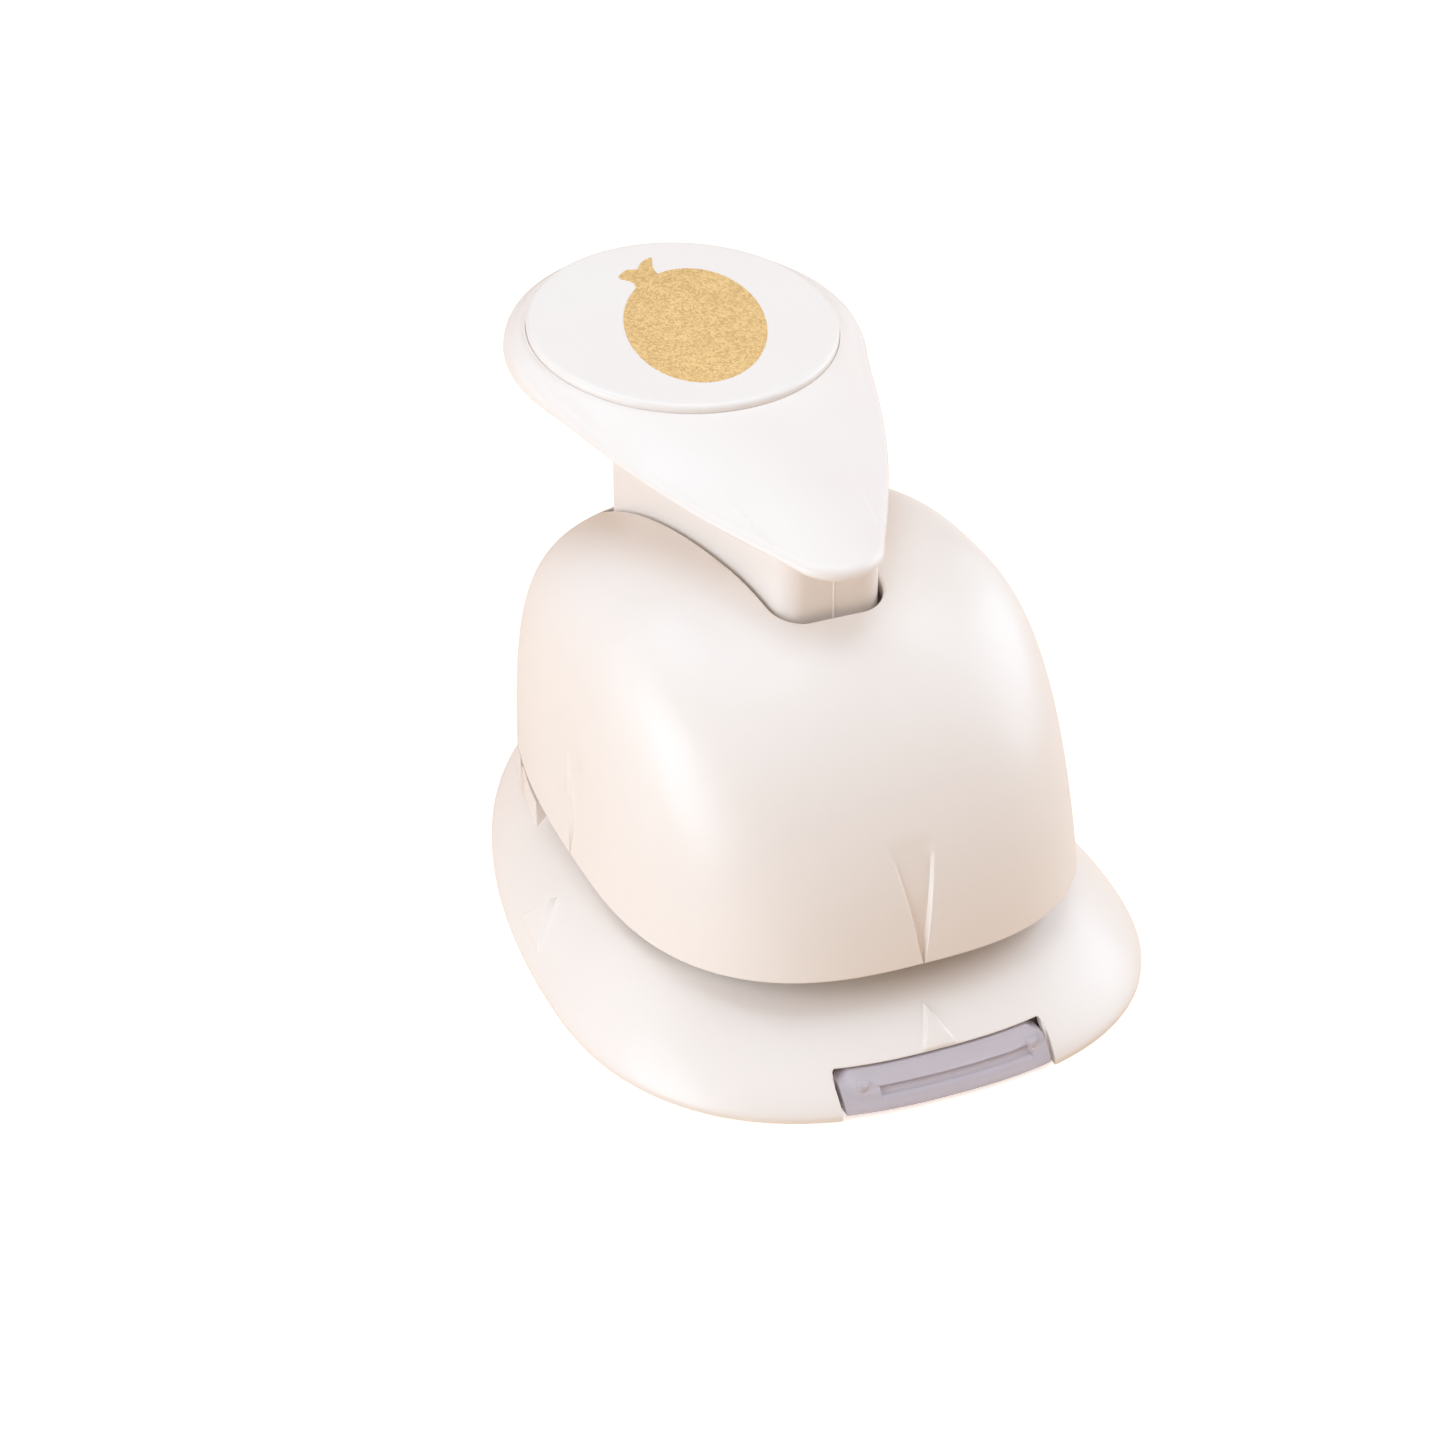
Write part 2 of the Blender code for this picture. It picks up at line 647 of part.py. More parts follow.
def make_cover(finish, frame):
    shell = loft(list(reversed(cover_rings(COVER_WALL))) + cover_rings())
    made = mesh_object("top_cover", shell, finish, frame)
    boss = SCREW_SHANK_RADIUS + RUNNING_GAP + BOSS_WALL
    places = (
        ("front", COVER_FRONT_SCREW, GUIDE_TOP + SEAT_GAP),
        ("rear", COVER_REAR_SCREW, TABLE_HEIGHT + SEAT_GAP),
    )
    for name, (x, y), bottom in places:
        for side in (-1, 1):
            post = tool_object(
                f"cover_boss_{name}_{side}", rod((side * x, y), boss, bottom, COVER_TOP), frame
            )
            inside = cover_rings(COVER_WALL / 2)
            inside[0] = [(px, py, GUIDE_BOTTOM - OVERRUN) for px, py, pz in inside[0]]
            core = tool_object(f"cover_core_{name}_{side}", loft(inside), frame)
            combine(post, core, "INTERSECT")
            combine(made, post, "UNION")
            hole = SCREW_SHANK_RADIUS + RUNNING_GAP
            top = bottom + SCREW_HOLD + OVERRUN
            bore = rod((side * x, y), hole, bottom - OVERRUN, top)
            cut(made, f"cover_bore_{name}_{side}", bore, frame)
    slot = wedge_outline(SLOT_FRONT, SLOT_REAR, 0.0, SLOT_CORNER)
    middle = COVER_RIM_HEIGHT + COVER_RISE / 3
    cut(made, "cover_slot", prism(slot, middle, COVER_TOP + OVERRUN), frame)
    sizes = (COVER_MARK_HALF_WIDTH, COVER_RIM_HEIGHT - SEAT_GAP, COVER_MARK_TOP)
    for side, degrees in mark_sides():
        mark = mark_shape(cover_distance, degrees, *sizes, MARK_DEPTH, OVERRUN)
        cut(made, f"cover_mark_{side}", mark, frame)


def screw_places():
    plate = [(side * PLATE_SCREW_X, y) for y in PLATE_SCREW_ROWS for side in (-1, 1)]
    return plate


def drill(target, name, places, radius, bottom, top, frame):
    for i, place in enumerate(places):
        cut(target, f"{name}_hole_{i}", rod(place, radius, bottom, top), frame)


def make_die_plate(finish, frame):
    outline = rounded_rectangle(
        DIE_PLATE_HALF_WIDTH, DIE_PLATE_FRONT, DIE_PLATE_REAR, DIE_PLATE_CORNER
    )
    made = mesh_object("die_plate", prism(outline, DIE_BOTTOM, DIE_TOP), finish, frame)
    low, high = DIE_BOTTOM - OVERRUN, DIE_TOP + OVERRUN
    cut_figure(made, "die_opening", RUNNING_GAP, low, high, frame)
    hole = SCREW_SHANK_RADIUS + RUNNING_GAP
    drill(made, "die", screw_places(), hole, low, high, frame)


def make_guide_plate(finish, frame):
    """The upper plate follows the cover's inside and ends square behind the screws."""
    whole = rim_outline(COVER_WALL + GUIDE_PLATE_MARGIN)
    outline = [(x, min(y, DIE_PLATE_REAR)) for x, y in whole]
    kept = [p for i, p in enumerate(outline) if p != outline[i - 1]]
    made = mesh_object("guide_plate", prism(kept, GUIDE_BOTTOM, GUIDE_TOP), finish, frame)
    low, high = GUIDE_BOTTOM - OVERRUN, GUIDE_TOP + OVERRUN
    cut_figure(made, "guide_opening", RUNNING_GAP, low, high, frame)
    hole = SCREW_SHANK_RADIUS + RUNNING_GAP
    drill(made, "guide", screw_places(), hole, low, high, frame)
    posts = [(side * POST_OFFSET, DIE_CENTRE) for side in (-1, 1)]
    drill(made, "guide_post", posts, POST_RADIUS + SEAT_GAP, low, high, frame)
    frame_screws = [(side * FRAME_SCREW_X, FRAME_SCREW_Y) for side in (-1, 1)]
    drill(made, "guide_frame", frame_screws, hole, low, high, frame)
    front = [(side * COVER_FRONT_SCREW[0], COVER_FRONT_SCREW[1]) for side in (-1, 1)]
    drill(made, "guide_cover", front, hole, low, high, frame)
    sink_top = GUIDE_BOTTOM + FLAT_HEAD_HEIGHT + 2 * SEAT_GAP
    sink = SCREW_HEAD_RADIUS + RUNNING_GAP
    drill(made, "guide_sink", front, sink, low, sink_top, frame)


def make_spacer(finish, frame):
    outline = rounded_rectangle(
        DIE_PLATE_HALF_WIDTH, THROAT_END, DIE_PLATE_REAR, DIE_PLATE_CORNER
    )
    low, high = DIE_TOP + SEAT_GAP, GUIDE_BOTTOM - SEAT_GAP
    made = mesh_object("throat_spacer", prism(outline, low, high), finish, frame)
    hole = SCREW_SHANK_RADIUS + RUNNING_GAP
    drill(made, "spacer", screw_places(), hole, low - OVERRUN, high + OVERRUN, frame)


def ear_profile(foot_height):
    """Upright ear: a round top about the pivot on a foot as long as the frame's."""
    margin = FRAME_EAR_FOOT_MARGIN
    points = [(FRAME_FRONT + margin, foot_height), (FRAME_REAR - margin, foot_height)]
    for i in range(9):
        a = math.radians(180 * i / 8)
        points.append(
            (PIVOT_Y + FRAME_EAR_RADIUS * math.cos(a), PIVOT_Z + FRAME_EAR_RADIUS * math.sin(a))
        )
    return points


def make_pivot_frame(finish, frame):
    low = (-FRAME_HALF_WIDTH, FRAME_FRONT, FRAME_BOTTOM)
    high = (FRAME_HALF_WIDTH, FRAME_REAR, FRAME_TOP)
    made = mesh_object("pivot_frame", box(low, high), finish, frame)
    middle = FRAME_BOTTOM + FRAME_FOOT_THICKNESS / 2
    for side in (-1, 1):
        edges = sorted((side * FRAME_EAR_INNER, side * (FRAME_EAR_INNER + FRAME_EAR_THICKNESS)))
        profile = ear_profile(middle)
        add(made, f"frame_ear_{side}", side_prism(profile, *edges), frame)
    far = FRAME_EAR_INNER + FRAME_EAR_THICKNESS + OVERRUN
    bore = cross_rod(PIVOT_Y, PIVOT_Z, PIVOT_PIN_RADIUS + RUNNING_GAP, -far, far)
    cut(made, "frame_bore", bore, frame)
    hole = SCREW_SHANK_RADIUS + RUNNING_GAP
    places = [(side * FRAME_SCREW_X, FRAME_SCREW_Y) for side in (-1, 1)]
    drill(made, "frame", places, hole, FRAME_BOTTOM - OVERRUN, FRAME_TOP + OVERRUN, frame)


def make_pivot_pin(finish, frame):
    reach = FRAME_EAR_INNER + FRAME_EAR_THICKNESS + PIN_END_MARGIN
    shape = cross_rod(PIVOT_Y, PIVOT_Z, PIVOT_PIN_RADIUS, -reach, reach)
    mesh_object("pivot_pin", shape, finish, frame)


def screw(name, place, head_seat, length, upward, finish, frame, head_height=SCREW_HEAD_HEIGHT):
    """Turned screw with a round driver recess. upward means that the shank points up."""
    way = 1 if upward else -1
    top = head_seat - way * head_height
    floor = top + way * min(SCREW_RECESS_DEPTH, head_height / 2)
    stations = (
        (SCREW_RECESS_RADIUS, floor),
        (SCREW_RECESS_RADIUS, top),
        (SCREW_HEAD_RADIUS - head_height / 4, top),
        (SCREW_HEAD_RADIUS, top + way * head_height / 3),
        (SCREW_HEAD_RADIUS, head_seat),
        (SCREW_SHANK_RADIUS, head_seat),
        (SCREW_SHANK_RADIUS, head_seat + way * (length - SCREW_SHANK_RADIUS)),
        (SCREW_SHANK_RADIUS / 3, head_seat + way * length),
    )
    rings = [raised(circle(place, radius, 14), z) for radius, z in stations]
    mesh_object(name, loft(rings), finish, frame)


def make_screws(finish, frame):
    seat = GUIDE_TOP + SEAT_GAP
    for i, place in enumerate(screw_places()):
        screw(f"plate_screw_{i + 1}", place, seat, seat - BASE_BOSS_BOTTOM, False, finish, frame)
    for side, word in ((-1, "left"), (1, "right")):
        place = (side * FRAME_SCREW_X, FRAME_SCREW_Y)
        seat = FRAME_TOP + SEAT_GAP
        length = seat - GUIDE_BOTTOM - SEAT_GAP
        screw(f"frame_screw_{word}", place, seat, length, False, finish, frame)
        place = (side * COVER_FRONT_SCREW[0], COVER_FRONT_SCREW[1])
        seat = GUIDE_BOTTOM + SEAT_GAP / 2 + FLAT_HEAD_HEIGHT
        length = GUIDE_TOP + SEAT_GAP + SCREW_HOLD - seat
        name = f"cover_screw_front_{word}"
        screw(name, place, seat, length, True, finish, frame, FLAT_HEAD_HEIGHT)
        place = (side * COVER_REAR_SCREW[0], COVER_REAR_SCREW[1])
        seat = COVER_REAR_COLUMN_BOTTOM - SEAT_GAP
        length = TABLE_HEIGHT + SEAT_GAP + SCREW_HOLD - seat
        screw(f"cover_screw_rear_{word}", place, seat, length, True, finish, frame)


def make_posts(finish, frame):
    for side, word in ((-1, "left"), (1, "right")):
        place = (side * POST_OFFSET, DIE_CENTRE)
        stations = (
            (POST_RADIUS, GUIDE_BOTTOM + SEAT_GAP),
            (POST_RADIUS, POST_TOP - POST_RADIUS / 2),
            (POST_RADIUS / 2, POST_TOP),
        )
        rings = [raised(circle(place, radius, 16), z) for radius, z in stations]
        mesh_object(f"guide_post_{word}", loft(rings), finish, frame)


def make_cutter(finish, frame):
    shape = prism(figure_body(), CUTTER_BOTTOM, CUTTER_TOP)
    made = mesh_object("punch_cutter", shape, finish, frame)
    tail = prism(figure_tail(), CUTTER_BOTTOM, CUTTER_TOP)
    add(made, "cutter_tail", tail, frame)
    hole = SCREW_SHANK_RADIUS + RUNNING_GAP
    bottom = CUTTER_TOP - CUTTER_SCREW_DEPTH - SEAT_GAP
    bore = rod((0.0, DIE_CENTRE), hole, bottom, CUTTER_TOP + OVERRUN)
    cut(made, "cutter_bore", bore, frame)


def make_head(finish, frame):
    body = superellipse(
        HEAD_HALF_WIDTH, HEAD_FRONT_REACH, HEAD_REAR_REACH, DIE_CENTRE, HEAD_POWER, HEAD_POWER, 36
    )
    made = mesh_object("punch_head", prism(body, HEAD_BOTTOM, HEAD_BODY_TOP), finish, frame)
    ends = []
    for i in range(13):
        a = math.radians(-90 + 15 * i)
        ends.append((POST_OFFSET + ARM_HALF_WIDTH * math.cos(a), ARM_HALF_WIDTH * math.sin(a)))
    arm = ends + [(-x, -y) for x, y in ends]
    arm = [(x, y + DIE_CENTRE) for x, y in arm]
    arm_top = HEAD_BODY_TOP - ARM_LIFT
    add(made, "head_arms", prism(arm, ARM_BOTTOM, arm_top), frame)
    pad = rounded_rectangle(
        HEAD_PAD_HALF_WIDTH,
        DIE_CENTRE - HEAD_PAD_HALF_LENGTH,
        DIE_CENTRE + HEAD_PAD_HALF_LENGTH,
        ARM_HALF_WIDTH / 2,
    )
    add(made, "head_pad", prism(pad, HEAD_BODY_TOP - ARM_LIFT, HEAD_TOP), frame)
    low, high = HEAD_BOTTOM - OVERRUN, HEAD_TOP + OVERRUN
    for side in (-1, 1):
        bore = rod((side * POST_OFFSET, DIE_CENTRE), POST_RADIUS + RUNNING_GAP, low, high)
        cut(made, f"head_bore_{side}", bore, frame)
    hole = SCREW_SHANK_RADIUS + RUNNING_GAP
    cut(made, "head_screw_hole", rod((0.0, DIE_CENTRE), hole, low, high), frame)
    sink = SCREW_HEAD_RADIUS + RUNNING_GAP
    floor = HEAD_TOP - SCREW_HEAD_HEIGHT - 3 * SEAT_GAP
    cut(made, "head_sink", rod((0.0, DIE_CENTRE), sink, floor, high), frame)


def make_cutter_screw(finish, frame):
    seat = HEAD_TOP - SCREW_HEAD_HEIGHT - 2 * SEAT_GAP
    length = seat - CUTTER_TOP + CUTTER_SCREW_DEPTH
    screw("cutter_screw", (0.0, DIE_CENTRE), seat, length, False, finish, frame)


def make_springs(finish, frame):
    """One unbroken coil round each post, from the guide plate up to the head's arm."""
    low = GUIDE_TOP + SEAT_GAP + SPRING_WIRE_RADIUS
    high = ARM_BOTTOM - SEAT_GAP - SPRING_WIRE_RADIUS
    count = SPRING_TURNS * SPRING_POINTS_PER_TURN
    gap = (high - low) / SPRING_TURNS - 2 * SPRING_WIRE_RADIUS
    print(f"least gap between a spring's turns: {gap * 1000:.2f} mm")
    for side, word in ((-1, "left"), (1, "right")):
        curve = bpy.data.curves.new(f"return_spring_{word}", "CURVE")
        curve.dimensions = "3D"
        curve.bevel_depth = SPRING_WIRE_RADIUS
        curve.bevel_resolution = 1
        curve.use_fill_caps = True
        coil = curve.splines.new("POLY")
        coil.points.add(count)
        for i in range(count + 1):
            a = 2 * math.pi * i / SPRING_POINTS_PER_TURN
            x = side * POST_OFFSET + SPRING_COIL_RADIUS * math.cos(a)
            y = DIE_CENTRE + SPRING_COIL_RADIUS * math.sin(a)
            z = low + (high - low) * i / count
            place = Vector((x, y, z)) - frame.location
            coil.points[i].co = (*place, 1.0)
        curve.materials.append(finish)
        made = bpy.data.objects.new(f"return_spring_{word}", curve)
        made.parent = frame
        bpy.context.scene.collection.objects.link(made)


def teardrop(inset=0.0):
    """Lever's outline: a large and a small arc joined by slightly bulging sides."""
    big = LEVER_END_RADIUS - inset
    small = LEVER_TIP_RADIUS - inset
    span = LEVER_END_CENTRE - LEVER_TIP_CENTRE
    lean = math.asin((LEVER_END_RADIUS - LEVER_TIP_RADIUS) / span)
    points = []
    for i in range(LEVER_TIP_POINTS + 1):
        a = -math.pi / 2 + (math.pi / 2 - lean) * (2 * i / LEVER_TIP_POINTS - 1)
        points.append((small * math.cos(a), LEVER_TIP_CENTRE + small * math.sin(a)))
    right_end = (big * math.cos(lean), LEVER_END_CENTRE - big * math.sin(lean))
    start = points[-1]
    side = []
    for i in range(1, LEVER_SIDE_POINTS):
        s = i / LEVER_SIDE_POINTS
        swell = LEVER_SIDE_BULGE * 4 * s * (1 - s)
        x = start[0] + s * (right_end[0] - start[0]) + swell * math.cos(lean)
        y = start[1] + s * (right_end[1] - start[1]) - swell * math.sin(lean)
        side.append((x, y))
    far = []
    for i in range(LEVER_END_POINTS + 1):
        a = -lean + (math.pi + 2 * lean) * i / LEVER_END_POINTS
        far.append((big * math.cos(a), LEVER_END_CENTRE + big * math.sin(a)))
    return points + side + far + [(-x, y) for x, y in reversed(side)]


def inclined(outline, height, slope, bow=0.0):
    """Outline laid on a slope that steepens to the rear, and as gentle as the pad under the pad."""
    points = []
    for x, y in outline:
        along = min(y, LEVER_END_CENTRE)
        rise = slope * along + bow * (along / LEVER_END_CENTRE) ** 2
        rise += math.tan(PAD_TILT) * max(y - LEVER_END_CENTRE, 0.0)
        points.append((x, y, height + rise))
    return points


def pad_plane(y, drop=0.0):
    return PAD_HEIGHT + math.tan(PAD_TILT) * (y - PAD_CENTRE) - drop


def pad_circle(outline, radius):
    """Each point of the teardrop sent to the pad's circle by its angle about the pad's centre."""
    points = []
    for x, y in outline:
        a = math.atan2(y - PAD_CENTRE, x)
        points.append((radius * math.cos(a), PAD_CENTRE + radius * math.sin(a)))
    return points


def blend(first, second, share):
    return [
        tuple(p + (q - p) * share for p, q in zip(one, other)) for one, other in zip(first, second)
    ]


def lever_rings(inset, drop):
    """Rings from the lip up and over the top to the pad's seat."""
    outline = teardrop(inset + LEVER_LIP_INSET)
    widest = teardrop(inset)
    fold = teardrop(inset + LEVER_FOLD_INSET)
    lip = inclined(outline, LEVER_LIP_HEIGHT, LEVER_LIP_SLOPE)
    middle = LEVER_LIP_HEIGHT + LEVER_SIDE_HEIGHT - drop / 2
    side = inclined(widest, middle, LEVER_LIP_SLOPE)
    edge = inclined(fold, LEVER_FOLD_HEIGHT - drop, LEVER_FOLD_SLOPE, LEVER_FOLD_BOW)
    circle_points = pad_circle(fold, PAD_RADIUS + PAD_SIDE_GAP)
    seat = [(x, y, pad_plane(y, PAD_STAND + drop)) for x, y in circle_points]
    crown = []
    for share in CROWN_RING_SHARES:
        ring = blend(edge, seat, share)
        lift = PAD_STAND * math.sin(math.pi * share) * CROWN_SWELL_SHARE
        crown.append([(x, y, z + lift) for x, y, z in ring])
    return [lip, side, edge] + crown + [seat]


def web_profile(front, knee, bottom, boss, slab):
    """Side view of the web as (y, z) points: pivot boss, belly, rear edge, top and front."""
    points = []
    for i in range(WEB_BOSS_POINTS):
        a = math.radians(120 + 165 * i / (WEB_BOSS_POINTS - 1))
        points.append((PIVOT_Y + boss * math.cos(a), PIVOT_Z + boss * math.sin(a)))
    points.append((WEB_BOTTOM_START, bottom))
    points.append((WEB_BOTTOM_RISE_START, bottom))
    points.append((WEB_REAR, bottom + WEB_REAR_RISE))
    front_drop, rear_drop = (LEVER_SHELL * share + slab for share in WEB_TOP_SHARES)
    points.append((WEB_REAR, pad_plane(WEB_REAR, PAD_STAND + rear_drop)))
    points.append((WEB_TOP_TURN, pad_plane(WEB_TOP_TURN, PAD_STAND + rear_drop)))
    points.append((front, LEVER_FOLD_HEIGHT - front_drop))
    points.append((front, knee))
    return points


def wedge_prism(profile, inset):
    """Prism along X whose half width follows the slot's wedge."""
    rings = []
    for side in (-1, 1):
        rings.append([(side * (slot_half_width(y) - inset), y, z) for y, z in profile])
    return loft(rings)


def web_corner(side):
    """What rounds an upright front corner of the web, above the crown's underside."""
    half_width = slot_half_width(WEB_FRONT) - SLOT_SIDE_GAP
    far = half_width + OVERRUN
    near = WEB_FRONT - OVERRUN
    points = [(half_width - WEB_CORNER, near), (far, near), (far, WEB_FRONT + WEB_CORNER)]
    for i in range(5):
        a = math.radians(90 * i / 4)
        x = half_width - WEB_CORNER + WEB_CORNER * math.cos(a)
        points.append((x, WEB_FRONT + WEB_CORNER - WEB_CORNER * math.sin(a)))
    outline = [(side * x, y) for x, y in points]
    return prism(outline, WEB_KNEE_HEIGHT, PAD_HEIGHT)


def make_lever(finish, frame):
    outer = lever_rings(0.0, 0.0)
    inner = lever_rings(LEVER_SHELL, LEVER_SHELL)
    lip = inner[0]
    inner[0:2] = [[(x, y, outer[0][i][2]) for i, (x, y, z) in enumerate(lip)]]
    made = mesh_object("lever", loft(list(reversed(inner)) + outer), finish, frame)
    profile = web_profile(WEB_FRONT, WEB_KNEE_HEIGHT, WEB_BOTTOM, PIVOT_BOSS_RADIUS, 0.0)
    web = tool_object("lever_web", wedge_prism(profile, SLOT_SIDE_GAP), frame)
    hollow_profile = web_profile(
        WEB_FRONT + WEB_WALL,
        WEB_KNEE_HEIGHT - WEB_WALL,
        WEB_BOTTOM - OVERRUN,
        PIVOT_BOSS_RADIUS + OVERRUN,
        WEB_SLAB,
    )
    rear = WEB_REAR + OVERRUN
    hollow_profile = [(rear if y == WEB_REAR else y, z) for y, z in hollow_profile]
    hollow = tool_object(
        "lever_web_hollow", wedge_prism(hollow_profile, SLOT_SIDE_GAP + WEB_WALL), frame
    )
    combine(web, hollow, "DIFFERENCE")
    for side in (-1, 1):
        combine(web, tool_object(f"web_corner_{side}", web_corner(side), frame), "DIFFERENCE")
    combine(made, web, "UNION")
    reach = slot_half_width(WEB_REAR)
    bore = cross_rod(PIVOT_Y, PIVOT_Z, PIVOT_PIN_RADIUS + RUNNING_GAP, -reach, reach)
    cut(made, "lever_pivot_bore", bore, frame)
    bore = cross_rod(DIE_CENTRE, PRESSER_Z, PRESSER_PIN_RADIUS + SEAT_GAP, -reach, reach)
    cut(made, "lever_presser_bore", bore, frame)


def make_pad(finish, frame):
    """Round cap whose top stands a little above the lever, with a rolled edge."""
    seat_drop = PAD_STAND - SEAT_GAP
    rings = []
    stations = (
        (PAD_RADIUS - PAD_EDGE, seat_drop),
        (PAD_RADIUS, seat_drop),
        (PAD_RADIUS, PAD_EDGE * PAD_EDGE_SHARES[0]),
        (PAD_RADIUS - PAD_EDGE * PAD_EDGE_SHARES[1], PAD_EDGE * PAD_EDGE_SHARES[2]),
        (PAD_RADIUS - PAD_EDGE, 0.0),
    )
    for radius, drop in stations:
        outline = circle((0.0, PAD_CENTRE), radius, 44)
        rings.append([(x, y, pad_plane(y, drop)) for x, y in outline])
    mesh_object("pad_cap", loft(rings), finish, frame)


def make_presser(pin_finish, roller_finish, frame, roller_frame):
    reach = slot_half_width(DIE_CENTRE) - SLOT_SIDE_GAP - SEAT_GAP
    pin = cross_rod(DIE_CENTRE, PRESSER_Z, PRESSER_PIN_RADIUS, -reach, reach, 16)
    mesh_object("presser_pin", pin, pin_finish, frame)
    shape = cross_rod(DIE_CENTRE, PRESSER_Z, ROLLER_RADIUS, -ROLLER_HALF_LENGTH, ROLLER_HALF_LENGTH)
    made = mesh_object("presser_roller", shape, roller_finish, roller_frame)
    far = ROLLER_HALF_LENGTH + OVERRUN
    bore = cross_rod(DIE_CENTRE, PRESSER_Z, PRESSER_PIN_RADIUS + RUNNING_GAP, -far, far, 16)
    cut(made, "roller_bore", bore, roller_frame)


def tray_outline(inset):
    """Plan of the tray: inside the skirt at the tray's own height, cut square at the rear."""
    half_width, front, rear = base_sizes(TRAY_HEIGHT, BASE_WALL + TRAY_GAP + inset)
    whole = superellipse(half_width, front, rear, 0.0, BASE_FRONT_POWER, BASE_REAR_POWER)
    limit = TRAY_REAR - inset
    clipped = [(x, min(y, limit)) for x, y in whole]
    return [p for i, p in enumerate(clipped) if p != clipped[i - 1]]


def make_tray(finish, frame):
    floor_top = TRAY_FLOOR_HEIGHT + TRAY_FLOOR
    outer = prism(tray_outline(0.0), TRAY_FLOOR_HEIGHT, TRAY_HEIGHT)
    made = mesh_object("chip_tray", outer, finish, frame)
    half = NOTCH_HALF_WIDTH - WINDOW_GAP
    tab_front = -BASE_FRONT + WINDOW_GAP
    low = (-half, -BASE_FRONT - OVERRUN, TRAY_FLOOR_HEIGHT)
    high = (half, tab_front + WINDOW_TAB_DEPTH, NOTCH_HEIGHT - WINDOW_GAP)
    window = tool_object("tray_window", box(low, high), frame)
    skin = tool_object("tray_window_skin", loft(base_loft(WINDOW_GAP, TABLE_HEIGHT)), frame)
    combine(window, skin, "INTERSECT")
    combine(made, window, "UNION")
    inner = prism(tray_outline(TRAY_WALL), floor_top, TRAY_HEIGHT + OVERRUN)
    cut(made, "tray_hollow", inner, frame)
    inner_half = half - WINDOW_WALL
    low = (-inner_half, -BASE_FRONT - OVERRUN, floor_top)
    high = (inner_half, tab_front + WINDOW_TAB_DEPTH + OVERRUN, TABLE_HEIGHT)
    room = tool_object("tray_window_room", box(low, high), frame)
    core = base_loft(WINDOW_GAP + WINDOW_WALL, TABLE_HEIGHT)
    core_tool = tool_object("tray_window_core", loft(core), frame)
    combine(room, core_tool, "INTERSECT")
    combine(made, room, "DIFFERENCE")
    for side in (-1, 1):
        near, far = side * KNUCKLE_INNER, side * (KNUCKLE_INNER + KNUCKLE_WIDTH)
        edges = sorted((near, far))
        top = TRAY_HINGE_Z + KNUCKLE_RADIUS
        profile = [(TRAY_REAR - TRAY_WALL, TRAY_FLOOR_HEIGHT), (TRAY_HINGE_Y, TRAY_FLOOR_HEIGHT)]
        for i in range(9):
            a = math.radians(-90 + 180 * i / 8)
            y = TRAY_HINGE_Y + KNUCKLE_RADIUS * math.cos(a)
            profile.append((y, TRAY_HINGE_Z + KNUCKLE_RADIUS * math.sin(a)))
        profile.append((TRAY_REAR - TRAY_WALL, top))
        profile[1] = (TRAY_HINGE_Y - KNUCKLE_RADIUS, TRAY_FLOOR_HEIGHT)
        add(made, f"tray_knuckle_{side}", side_prism(profile, *edges), frame)
        pin_end = KNUCKLE_INNER + KNUCKLE_WIDTH + BRACKET_WIDTH
        edges = sorted((near + side * TRAY_WALL, side * pin_end))
        pin = cross_rod(TRAY_HINGE_Y, TRAY_HINGE_Z, TRAY_PIN_RADIUS, *edges, 16)
        add(made, f"tray_pin_{side}", pin, frame)


def main():
    clear_scene()
    white = material("white_plastic", (0.93, 0.90, 0.87), 0.35)
    lever_white = material("lever_plastic", (0.94, 0.915, 0.885), 0.32)
    pad_white = material("pad_plastic", (0.95, 0.93, 0.905), 0.3)
    grey = material("grey_plastic", (0.32, 0.33, 0.35), 0.5)
    clear = material("smoke_clear_plastic", (0.62, 0.58, 0.66), 0.15, 0.0, 0.55)
    steel = material("plate_steel", (0.62, 0.62, 0.64), 0.28, 1.0)
    hard_steel = material("cutter_steel", (0.5, 0.5, 0.53), 0.2, 1.0)
    zinc = material("zinc_screws", (0.7, 0.7, 0.68), 0.35, 1.0)
    spring = material("spring_steel", (0.45, 0.45, 0.47), 0.3, 1.0)

    whole = empty("craft_punch", (0.0, -BOX_CENTRE, 0.0))
    lever_axis = empty("lever_axis", (0.0, PIVOT_Y, PIVOT_Z), whole)
    roller_axis = empty("roller_axis", (0.0, DIE_CENTRE, PRESSER_Z), whole)
    punch_axis = empty("punch_axis", (0.0, DIE_CENTRE, HEAD_BOTTOM), whole)
    tray_axis = empty("tray_axis", (0.0, TRAY_HINGE_Y, TRAY_HINGE_Z), whole)

    make_base(white, whole)
    make_cover(white, whole)
    make_die_plate(steel, whole)
    make_guide_plate(steel, whole)
    make_spacer(steel, whole)
    make_pivot_frame(grey, whole)
    make_pivot_pin(zinc, whole)
    make_posts(hard_steel, whole)
    make_screws(zinc, whole)
    make_springs(spring, punch_axis)
    make_cutter(hard_steel, punch_axis)
    make_head(grey, punch_axis)
    make_cutter_screw(zinc, punch_axis)
    make_lever(lever_white, lever_axis)
    make_pad(pad_white, lever_axis)
    make_presser(zinc, grey, lever_axis, roller_axis)
    make_tray(clear, tray_axis)


main()
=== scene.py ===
# %% [markdown]
# A lever craft punch for paper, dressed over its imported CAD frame. The CAD model holds every size,
# hinge and screw. This script gives each visible surface its fine shape and its finish, and sets up
# a plain studio. The punch's sizes are in millimetres until they become a mesh, and the studio's
# are in metres.

# %% Load the frame
import json
import math

